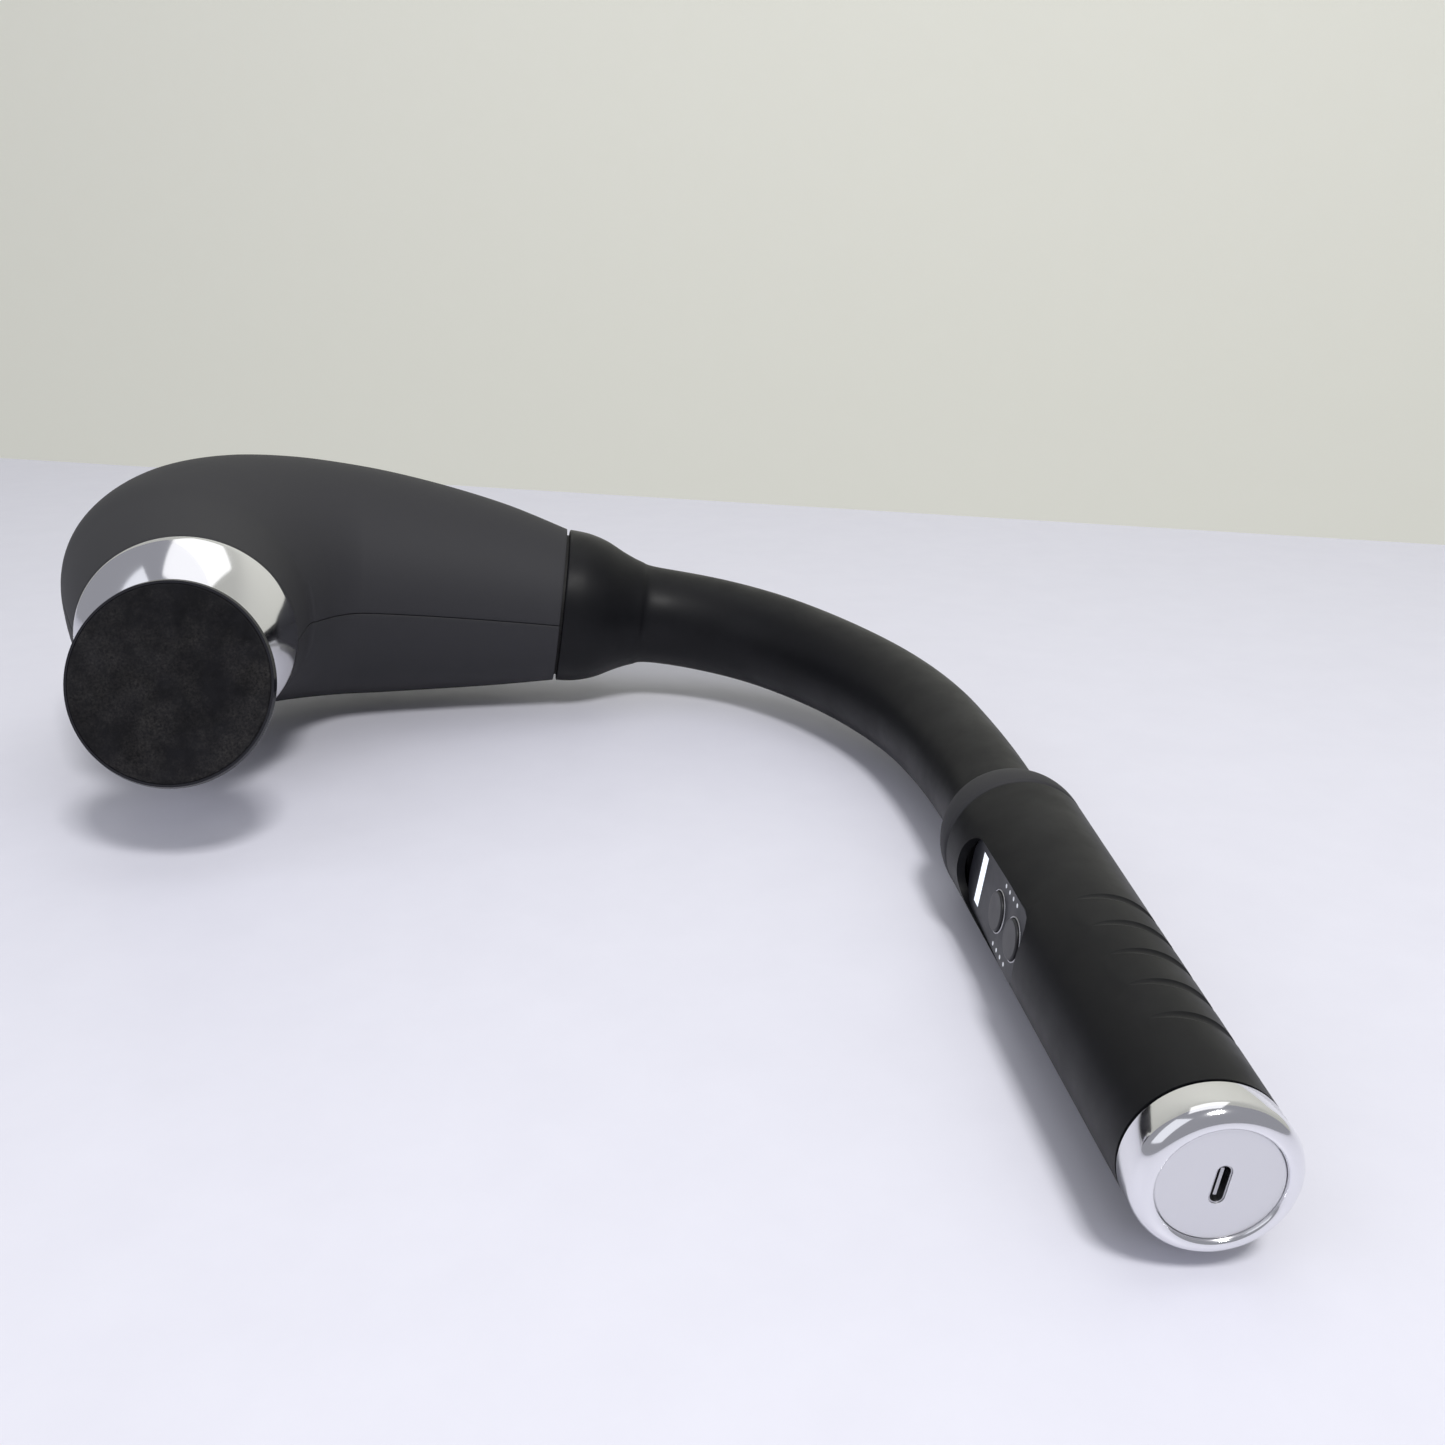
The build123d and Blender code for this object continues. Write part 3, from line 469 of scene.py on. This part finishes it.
def sharp_edges(mesh: bmesh.types.BMesh, degrees: float) -> list[bmesh.types.BMEdge]:
    """Edges whose two faces meet at more than an angle."""
    limit = math.radians(degrees)
    return [e for e in mesh.edges if len(e.link_faces) == 2 and e.calc_face_angle(0.0) > limit]


def round_edges(mesh: bmesh.types.BMesh, size: float, degrees: float = 40.0, segments: int = 3) -> None:
    """Rounds every sharp edge of a mesh.

    Args:
        mesh: The mesh.
        size: Width of the rounding, in the mesh's units.
        degrees: Least angle that counts as sharp.
        segments: Faces across the rounding.
    """
    bmesh.ops.bevel(
        mesh,
        geom=sharp_edges(mesh, degrees),
        offset=size,
        offset_type="OFFSET",
        segments=segments,
        profile=0.5,
        affect="EDGES",
        clamp_overlap=True,
        material=-1,
    )


@dataclass(frozen=True)
class Ring:
    """One elliptical section of a bent body, in the hook frame and in millimetres.

    Args:
        x: Centre, first coordinate.
        y: Centre, second coordinate.
        turn: Direction of travel, in radians anticlockwise from -X.
        wide: Half width in the plane of the hook.
        high: Half height across it.
    """

    x: float
    y: float
    turn: float
    wide: float
    high: float

    def matrix(self) -> Matrix:
        """Placement that turns a unit circle into this section."""
        way = Vector((-math.cos(self.turn), -math.sin(self.turn), 0.0))
        out = Vector((-math.sin(self.turn), math.cos(self.turn), 0.0))
        return basis(out * self.wide, way.cross(out) * self.high, way, Vector((self.x, self.y, 0.0)))

    def mixed(self, before: "Ring", after: "Ring", beyond: "Ring", share: float) -> "Ring":
        """A section between this one and the next on a smooth curve through four.

        Args:
            before: Section before this one.
            after: Next section.
            beyond: Section after the next.
            share: How far along, from 0 to 1.

        Returns:
            The section between.
        """

        def curve(a: float, b: float, c: float, d: float) -> float:
            """Value of the smooth curve through four numbers."""
            t = share
            curved = (2 * a - 5 * b + 4 * c - d) * t**2 + (3 * b - a - 3 * c + d) * t**3
            return 0.5 * (2 * b + (c - a) * t + curved)

        rows = [astuple(ring) for ring in (before, self, after, beyond)]
        return Ring(*(curve(*four) for four in zip(*rows)))


def smooth_rings(stations: Sequence[Ring], between: int) -> list[Ring]:
    """Adds sections between stations on a smooth curve.

    Args:
        stations: The given sections.
        between: Steps from one station to the next.

    Returns:
        All the sections, in order.
    """
    rings = []
    last = len(stations) - 1
    for k in range(last):
        before, here = stations[max(k - 1, 0)], stations[k]
        after, beyond = stations[k + 1], stations[min(k + 2, last)]
        rings += [here.mixed(before, after, beyond, step / between) for step in range(between)]
    return [*rings, stations[-1]]


def tube(rings: Sequence[Ring], segments: int) -> bmesh.types.BMesh:
    """Draws a circle along a line of sections.

    Args:
        rings: The sections.
        segments: Number of faces round the body.

    Returns:
        The open tube, facing outwards, in millimetres.
    """
    mesh = bmesh.new()
    bmesh.ops.create_circle(mesh, cap_ends=False, radius=1.0, segments=segments, matrix=rings[0].matrix())
    loop = list(mesh.edges)
    here = rings[0].matrix()
    for ring in rings[1:]:
        grown = bmesh.ops.extrude_edge_only(mesh, edges=loop)["geom"]
        moved = [g for g in grown if isinstance(g, bmesh.types.BMVert)]
        fresh = set(moved)
        loop = [e for e in grown if isinstance(e, bmesh.types.BMEdge) and fresh.issuperset(e.verts)]
        there = ring.matrix()
        bmesh.ops.transform(mesh, matrix=there @ here.inverted(), verts=moved)
        here = there
    bmesh.ops.recalc_face_normals(mesh, faces=mesh.faces)
    mesh.faces.ensure_lookup_table()
    face = mesh.faces[0]
    centre = rings[0].matrix().translation
    if face.normal.dot(face.calc_center_median() - centre) < 0:
        bmesh.ops.reverse_faces(mesh, faces=mesh.faces)
    return mesh


def thicken(mesh: bmesh.types.BMesh, wall: float) -> None:
    """Gives an open skin a wall on its inner side.

    Args:
        mesh: The skin, facing outwards.
        wall: Thickness of the wall.
    """
    bmesh.ops.solidify(mesh, geom=mesh.faces[:], thickness=wall)
    bmesh.ops.recalc_face_normals(mesh, faces=mesh.faces)


@dataclass
class Maker:
    """Turns finished meshes into pieces that ride on the frame."""

    made: list[str] = field(default_factory=list)

    def piece(
        self,
        name: str,
        mesh: bmesh.types.BMesh,
        place: Matrix,
        finish: Finish,
        body: str,
        slot: str,
        *nodes: str,
    ) -> bpy.types.Object:
        """Makes an object from a mesh, dresses it and joins it to a body.

        Args:
            name: Name of the piece.
            mesh: Mesh in millimetres, in the local frame of its sub-assembly.
            place: Placement of that frame in the row frame.
            finish: Its finish.
            body: The body it rides on.
            slot: The record's material slot; not used.
            nodes: CAD nodes that it stands for.

        Returns:
            The object.
        """
        bmesh.ops.transform(mesh, matrix=place @ Matrix.Scale(MM, 4), verts=mesh.verts)
        for face in mesh.faces:
            face.smooth = True
        data = bpy.data.meshes.new(name)
        mesh.to_mesh(data)
        mesh.free()
        data.set_sharp_from_angle(angle=math.radians(50))
        made = bpy.data.objects.new(name, data)
        bpy.context.scene.collection.objects.link(made)
        data.materials.append(finish.material())
        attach(made, body)
        if nodes:
            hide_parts(*nodes)
        self.made.append(name)
        LOG.info("made %s with %d faces", name, len(data.polygons))
        return made


# ---- Sub-assemblies ------------------------------------------------------------------------------


@dataclass
class Head:
    """The elbow-shaped head in two shells, and its chrome collar.

    Args:
        joint_r: Radius at the neck joint.
        half: Half thickness at the fullest.
        length: Joint to the start of the elbow.
        drop: Inner pivot of the elbow in front of the body axis.
        mouth_r: Radius of the mouth.
        gap: Width of the open groove at the neck.
        wall: Wall of the shells.
        seam: Half width of the line between the shells.
        bore: Radius of the bore through the collar's tip.
        hub_r: Radius of the hub round that bore.
        hub: Height where the hub starts.
        tip_r: Radius of the collar's flat tip.
        tip: Height of that tip.
        spigot_r: Radius of the collar's spigot in the mouth.
        spigot_bore: Radius of the collar's hollow there.
        spigot: Depth of the spigot.
    """

    joint_r: float = 32.7
    half: float = 50.0
    length: float = 74.0
    drop: float = 66.0
    mouth_r: float = 36.6
    gap: float = 1.2
    wall: float = 2.6
    seam: float = 0.14
    bore: float = 9.7
    hub_r: float = 12.0
    hub: float = 8.0
    tip_r: float = 14.5
    tip: float = 33.0
    spigot_r: float = 33.55
    spigot_bore: float = 31.5
    spigot: float = 8.0

    DOME = (29.0, 15.5)
    BODY = ((0.0, 0.0, 1.0, 1.0), (0.34, 4.4, 1.193, 1.187), (0.68, 5.9, 1.335, 1.329))
    ELBOW = (
        (0, 23.5, 118.2, 0.938),
        (15, 22.2, 122.0, 0.974),
        (30, 20.6, 128.5, 0.998),
        (45, 19.4, 133.5, 1.000),
        (60, 18.8, 131.5, 0.970),
        (75, 19.4, 122.0, 0.906),
        (90, 20.6, 108.2, 0.832),
    )

    def stations(self) -> list[Ring]:
        """The sections of the head, from the neck joint to the mouth."""
        rings = []
        for share, centre, wide, high in self.BODY:
            x = -max(share * self.length, self.gap / 2)
            rings.append(Ring(x, centre, 0.0, wide * self.joint_r + 0.06, high * self.joint_r))
        for angle, inner, outer, high in self.ELBOW:
            fan = math.radians(angle)
            middle = (inner + outer) / 2
            x = -self.length - middle * math.sin(fan)
            y = -self.drop + middle * math.cos(fan)
            rings.append(Ring(x, y, fan, (outer - inner) / 2, high * self.half))
        mouth = MOUTH - Vector((math.sin(TOE_IN), -math.cos(TOE_IN), 0.0)) * self.gap / 2
        rings.append(Ring(mouth.x, mouth.y, math.pi / 2 + TOE_IN, self.mouth_r + 0.06, self.mouth_r))
        return rings

    def shell(self, side: int) -> bmesh.types.BMesh:
        """One shell of the head.

        Args:
            side: 1 for the upper shell and -1 for the lower one.

        Returns:
            The closed shell, in the hook frame.
        """
        mesh = tube(smooth_rings(self.stations(), 9), 128)
        geometry = mesh.verts[:] + mesh.edges[:] + mesh.faces[:]
        bmesh.ops.bisect_plane(
            mesh, geom=geometry, plane_co=(0, 0, side * self.seam), plane_no=(0, 0, -side), clear_outer=True
        )
        thicken(mesh, self.wall)
        round_edges(mesh, 0.35, 45.0, 2)
        return mesh

    def collar(self) -> bmesh.types.BMesh:
        """The domed chrome collar, about the tip's axis."""
        outer = arc((self.tip_r + 1.5, self.tip - 1.2), self.DOME, (self.mouth_r, 1.6), 30)
        profile = [(self.bore, self.hub), (self.bore, self.tip), (self.tip_r, self.tip), *outer]
        profile += [(self.mouth_r, 0.0), (self.spigot_r, 0.0), (self.spigot_r, -self.spigot)]
        profile += [(self.spigot_bore, -self.spigot), (self.spigot_bore, 0.5)]
        profile += [(self.hub_r + 0.5, self.tip - 3.4), (self.hub_r, self.tip - 6.0), (self.hub_r, self.hub)]
        mesh = lathe(profile, 160)
        round_edges(mesh, 0.5, 50.0, 3)
        return mesh

    def build(self, maker: Maker, places: Places) -> None:
        """Makes the head's pieces.

        Args:
            maker: Turns meshes into pieces.
            places: Placements of the sub-assemblies.
        """
        hook = places.hook
        maker.piece("head_upper", self.shell(1), hook, SHELL, "body", "shell_black", "head_shell_upper")
        maker.piece("head_lower", self.shell(-1), hook, SHELL, "body", "shell_black", "head_shell_lower")
        maker.piece("collar_dome", self.collar(), places.tip, CHROME, "body", "chrome", "chrome_collar")


@dataclass
class Disc:
    """The flat pad on the disc, with its glossy edge band.

    Args:
        radius: Radius of the whole disc.
        face: Pad face in front of the ball's centre.
        pad: Thickness of the pad.
        edge: Width of the glossy edge.
        dish: Depth of the pad's hollow in the middle.
        nose: Rounding of the pad's rim.
    """

    radius: float = 32.7
    face: float = 12.5
    pad: float = 2.4
    edge: float = 1.4
    dish: float = 0.12
    nose: float = 0.8

    def pad_mesh(self) -> bmesh.types.BMesh:
        """The pad, very slightly dished towards its middle."""
        r, top = self.radius - self.edge, self.face
        front = [(0.0, top - self.dish), (r * 0.35, top - self.dish + 0.02), (r * 0.7, top - 0.04)]
        rim = arc((r - self.nose, top), (r - 0.22, top - 0.22), (r, top - self.nose), 7)
        profile = [(0.0, top - self.pad), *front, *rim, (r, top - self.pad)]
        return lathe(profile, 160)

    def build(self, maker: Maker, places: Places) -> None:
        """Makes the pad.

        Args:
            maker: Turns meshes into pieces.
            places: Placements of the sub-assemblies.
        """
        maker.piece("massage_pad", self.pad_mesh(), places.face, PAD, "disc_group", "pad_grey", "disc_pad")


@dataclass
class Arm:
    """The curved soft-touch sleeve between head and grip.

    Args:
        joint_r: Radius at the neck joint.
        gap: Width of the open groove at the neck.
        neck: Length over which the neck narrows.
        core_past: How far the core reaches past the sleeve.
        wall: Wall of the sleeve that is drawn.
    """

    joint_r: float = 32.7
    gap: float = 1.2
    neck: float = 40.5
    core_past: float = 12.0
    wall: float = 3.0

    NECK = ((0.22, 0.977), (0.42, 0.905), (0.62, 0.782), (0.8, 0.692))
    RADII = (20.9, 20.4, 19.9, 19.3, 18.8, 18.0, 17.0, 16.2, 15.6)
    BENDS = ((85.0, 47.0), (160.0, 38.0), (420.0, 8.35))
    START = 33.0
    RUN_IN = 33.0

    def centre(self, reach: float) -> tuple[float, float, float]:
        """A place on the centre line.

        Args:
            reach: Distance from the neck joint.

        Returns:
            Its x and y and the turn of the line there, in radians clockwise from +X.
        """
        x, y, turn = 0.0, 0.0, 0.0
        left = reach
        step = min(left, self.START)
        x, left = x + step, left - step
        for radius, degrees in self.BENDS:
            bend = min(left / radius, math.radians(degrees))
            if bend <= 0:
                break
            x += radius * (math.sin(turn + bend) - math.sin(turn))
            y -= radius * (math.cos(turn) - math.cos(turn + bend))
            turn += bend
            left -= bend * radius
        if left > 1e-6:
            x, y = x + left * math.cos(turn), y - left * math.sin(turn)
        return x, y, turn

    def length(self) -> float:
        """Length of the sleeve along its centre line."""
        bends = sum(radius * math.radians(degrees) for radius, degrees in self.BENDS)
        return self.START + bends + self.RUN_IN - self.core_past

    def sleeve(self) -> bmesh.types.BMesh:
        """The sleeve, in the hook frame."""
        stops = [(self.gap / 2, self.joint_r)]
        stops += [(share * self.neck, size * self.joint_r) for share, size in self.NECK]
        spread = self.length() - self.neck
        last = len(self.RADII) - 1
        stops += [(self.neck + spread * k / last, radius) for k, radius in enumerate(self.RADII)]
        reaches = smooth_rings([Ring(reach, 0.0, 0.0, radius, radius) for reach, radius in stops], 8)
        rings = []
        for ring in reaches:
            x, y, turn = self.centre(ring.x)
            rings.append(Ring(x, y, math.pi - turn, ring.wide, ring.wide))
        mesh = tube(rings, 112)
        thicken(mesh, self.wall)
        round_edges(mesh, 0.9, 45.0, 4)
        return mesh

    def build(self, maker: Maker, places: Places) -> None:
        """Makes the sleeve.

        Args:
            maker: Turns meshes into pieces.
            places: Placements of the sub-assemblies.
        """
        maker.piece("arm_skin", self.sleeve(), places.hook, SOFT, "body", "soft_black", "arm_sleeve")


@dataclass
class Grip:
    """Turned pieces of the grip: shoulder, key rings and the charging end.

    Args:
        shoulder_r: Radius at the shoulder.
        end_r: Radius at the charging end.
        shoulder: Height of the shoulder.
        ring_start: Start of the end ring below the shoulder's top.
        ring: Height of the end ring.
        plate_r: Radius of the end plate.
        core_r: Radius of the hole for the arm's core.
        opening: Radius of the hole for the sleeve's end.
        seat: Height of the step where the sleeve's end sits.
        floor: Height of the shoulder's inner face.
        skirt: Length of the spigot that goes into the grip.
        key_r: Inner and outer radius of the ring round a key.
    """

    SOCKET_AT = 170.3
    FACET = 17.1318
    PANEL_MID = 62.7
    KEYS = (2.0, 17.0)

    shoulder_r: float = 21.6
    end_r: float = 17.5
    shoulder: float = 21.0
    ring_start: float = 161.5
    ring: float = 10.0
    plate_r: float = 13.0
    core_r: float = 12.05
    opening: float = 16.5
    seat: float = 11.5
    floor: float = 17.0
    skirt: float = 8.0
    key_r: tuple[float, float] = (5.56, 6.0)

    def shoulder_mesh(self) -> bmesh.types.BMesh:
        """The domed shoulder."""
        r, top = self.shoulder_r, self.shoulder
        dome = arc((self.opening, 2.0), (r - 1.5, 8.2), (r, top - 0.8), 24)
        profile = [(self.core_r, self.floor), (self.core_r, self.seat), (self.opening, self.seat)]
        profile += [*dome, (r - 0.6, top), (r - 4.6, top), (r - 4.6, top + self.skirt)]
        profile += [(r - 6.6, top + self.skirt), (r - 6.6, self.floor)]
        mesh = lathe(profile, 144)
        round_edges(mesh, 0.3, 50.0, 2)
        return mesh

    def ring_mesh(self) -> bmesh.types.BMesh:
        """The polished ring at the charging end."""
        end = self.ring_start + self.ring
        r, inner = self.end_r, self.end_r - 2.3
        nose = arc((r - 0.1, end - 4.2), (r - 1.15, end - 1.15), (r - 3.6, end), 14)
        lip, back = self.plate_r + 0.1, self.ring_start - 5
        profile = [(inner, self.ring_start), (r - 0.3, self.ring_start), (r, self.ring_start + 0.6), *nose]
        profile += [(lip + 0.25, end - 0.2), (lip, end - 0.6), (lip, end - 3.0)]
        profile += [(self.plate_r - 1.6, end - 3.0), (self.plate_r - 1.6, back), (inner, back)]
        return lathe(profile, 144)

    def key_ring(self) -> bmesh.types.BMesh:
        """A fine bright ring set round a key, about the key's own axis."""
        inner, outer = self.key_r
        section = arc((inner, 0.0), ((inner + outer) / 2, 0.16), (outer, 0.0), 7)
        return lathe([*section, (outer, -0.4), (inner, -0.4)], 72)

    def build(self, maker: Maker, places: Places) -> None:
        """Makes the grip's turned pieces.

        Args:
            maker: Turns meshes into pieces.
            places: Placements of the sub-assemblies.
        """
        grip = places.grip
        shoulder = self.shoulder_mesh()
        maker.piece("grip_shoulder", shoulder, grip, SHELL, "body", "shell_black", "shoulder_collar")
        maker.piece("end_band", self.ring_mesh(), grip, CHROME, "body", "chrome", "end_ring")
        for number, spot in enumerate(self.KEYS, 1):
            seat = Matrix.Translation((-self.FACET * MM, 0, (self.PANEL_MID + spot) * MM))
            turn = Matrix.Rotation(-math.pi / 2, 4, "Y")
            maker.piece(f"key_ring_{number}", self.key_ring(), grip @ seat @ turn, STEEL, "body", "steel")


# ---- Stage ---------------------------------------------------------------------------------------


@dataclass(frozen=True)
class Lamp:
    """A soft square light that points at the object.

    Args:
        name: Name of the light.
        at: Its place.
        size: Side of the square, in metres.
        power: Power in watts.
        colour: Linear RGB.
    """

    name: str
    at: tuple[float, float, float]
    size: float
    power: float
    colour: tuple[float, float, float]


@dataclass
class Studio:
    """Floor, wall, lights and camera.

    Args:
        edge_at: A point on the floor's far edge.
        edge_turn: Direction of that edge, in degrees.
        sensor: Width of the camera's sensor, in millimetres.
        lens: Focal length, in millimetres.
        sky_strength: Strength of the even light from all sides.
    """

    edge_at: tuple[float, float] = (-0.4908, 0.8607)
    edge_turn: float = -22.14
    sensor: float = 36.0
    lens: float = 32.74
    sky_strength: float = 0.36

    SKY = (0.9, 0.91, 1.0, 1.0)
    CAMERA_AT = Vector((0.02395, -0.40125, 0.19227))
    CAMERA_RIGHT = Vector((0.99379, -0.1111, 0.00683))
    CAMERA_FORWARD = Vector((0.10659, 0.93182, -0.34691))
    LAMPS = (
        Lamp("key_light", (0.284, -0.83, 1.37), 0.3, 14.0, (1.0, 0.99, 0.97)),
        Lamp("fill_light", (-1.2, -0.5, 1.1), 1.4, 4.0, (0.93, 0.95, 1.0)),
        Lamp("top_light", (0.2, 0.5, 1.9), 1.4, 5.0, (1.0, 1.0, 1.0)),
    )
    FLOOR = Finish(
        "pale_floor", (0.78, 0.78, 0.87), (0.8, 0.8, 0.89),
        Surface.MOULDED, (0.34, 0.42), specular=0.3,
    )
    WALL = Finish(
        "pale_wall", (0.79, 0.79, 0.7), (0.8, 0.8, 0.71),
        Surface.SOFT_TOUCH, (0.8, 0.9), glow=0.3, specular=0.1,
    )

    def sheet(self, name: str, size: float, place: Matrix, finish: Finish) -> bpy.types.Object:
        """A flat square of the stage.

        Args:
            name: Name of the object.
            size: Half its side, in metres.
            place: Its placement.
            finish: Its finish.

        Returns:
            The object.
        """
        mesh = bmesh.new()
        bmesh.ops.create_grid(mesh, x_segments=4, y_segments=4, size=size, matrix=place)
        data = bpy.data.meshes.new(name)
        mesh.to_mesh(data)
        mesh.free()
        made = bpy.data.objects.new(name, data)
        bpy.context.scene.collection.objects.link(made)
        data.materials.append(finish.material())
        return made

    def light(self, lamp: Lamp) -> None:
        """Hangs one light.

        Args:
            lamp: The light to hang.
        """
        data = bpy.data.lights.new(lamp.name, "AREA")
        data.shape = "SQUARE"
        data.size = lamp.size
        data.energy = lamp.power
        data.color = lamp.colour
        made = bpy.data.objects.new(lamp.name, data)
        at = Vector(lamp.at)
        made.matrix_world = Matrix.Translation(at) @ (-at).to_track_quat("-Z", "Y").to_matrix().to_4x4()
        bpy.context.scene.collection.objects.link(made)

    def build(self) -> None:
        """Sets up the stage."""
        turn = Matrix.Rotation(math.radians(self.edge_turn), 4, "Z")
        edge = Matrix.Translation((*self.edge_at, 0)) @ turn
        self.sheet("floor", 2.5, edge @ Matrix.Translation((0.5, -2.5, 0)), self.FLOOR)
        upright = Matrix.Rotation(math.pi / 2, 4, "X")
        self.sheet("wall", 4.0, edge @ Matrix.Translation((0.5, 0.9, 1.0)) @ upright, self.WALL)
        for lamp in self.LAMPS:
            self.light(lamp)
        world = bpy.data.worlds.new("studio")
        world.use_nodes = True
        background = world.node_tree.nodes["Background"]
        background.inputs["Color"].default_value = self.SKY
        background.inputs["Strength"].default_value = self.sky_strength
        bpy.context.scene.world = world
        bpy.context.scene.view_settings.view_transform = "Standard"

    def camera(self) -> None:
        """Adds the camera."""
        lens = bpy.data.cameras.new("camera")
        lens.lens = self.lens
        lens.sensor_width = self.sensor
        lens.clip_start = 0.01
        made = bpy.data.objects.new("camera", lens)
        right = self.CAMERA_RIGHT.normalized()
        forward = self.CAMERA_FORWARD.normalized()
        made.matrix_world = basis(right, right.cross(forward), -forward, self.CAMERA_AT)
        bpy.context.scene.collection.objects.link(made)
        bpy.context.scene.camera = made


def dress_frame(nodes: dict[str, bpy.types.Object]) -> None:
    """Gives each CAD node that stays its finish.

    Args:
        nodes: The CAD nodes by name.
    """
    for name, finish in NODE_FINISHES.items():
        node = nodes[name]
        node.data.materials.clear()
        node.data.materials.append(finish.material())
        LOG.info("dressed %s in %s", name, finish.name)


def main() -> None:
    """Builds every piece in order."""
    logging.basicConfig(level=logging.INFO, format="%(name)s: %(message)s")
    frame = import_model()
    places = Places.read(frame["record"])
    dress_frame(frame["nodes"])
    maker = Maker()
    for assembly in (Head(), Disc(), Arm(), Grip()):
        assembly.build(maker, places)
    studio = Studio()
    studio.build()
    studio.camera()
    LOG.info("made %d pieces", len(maker.made))


if __name__ == "__main__":
    main()
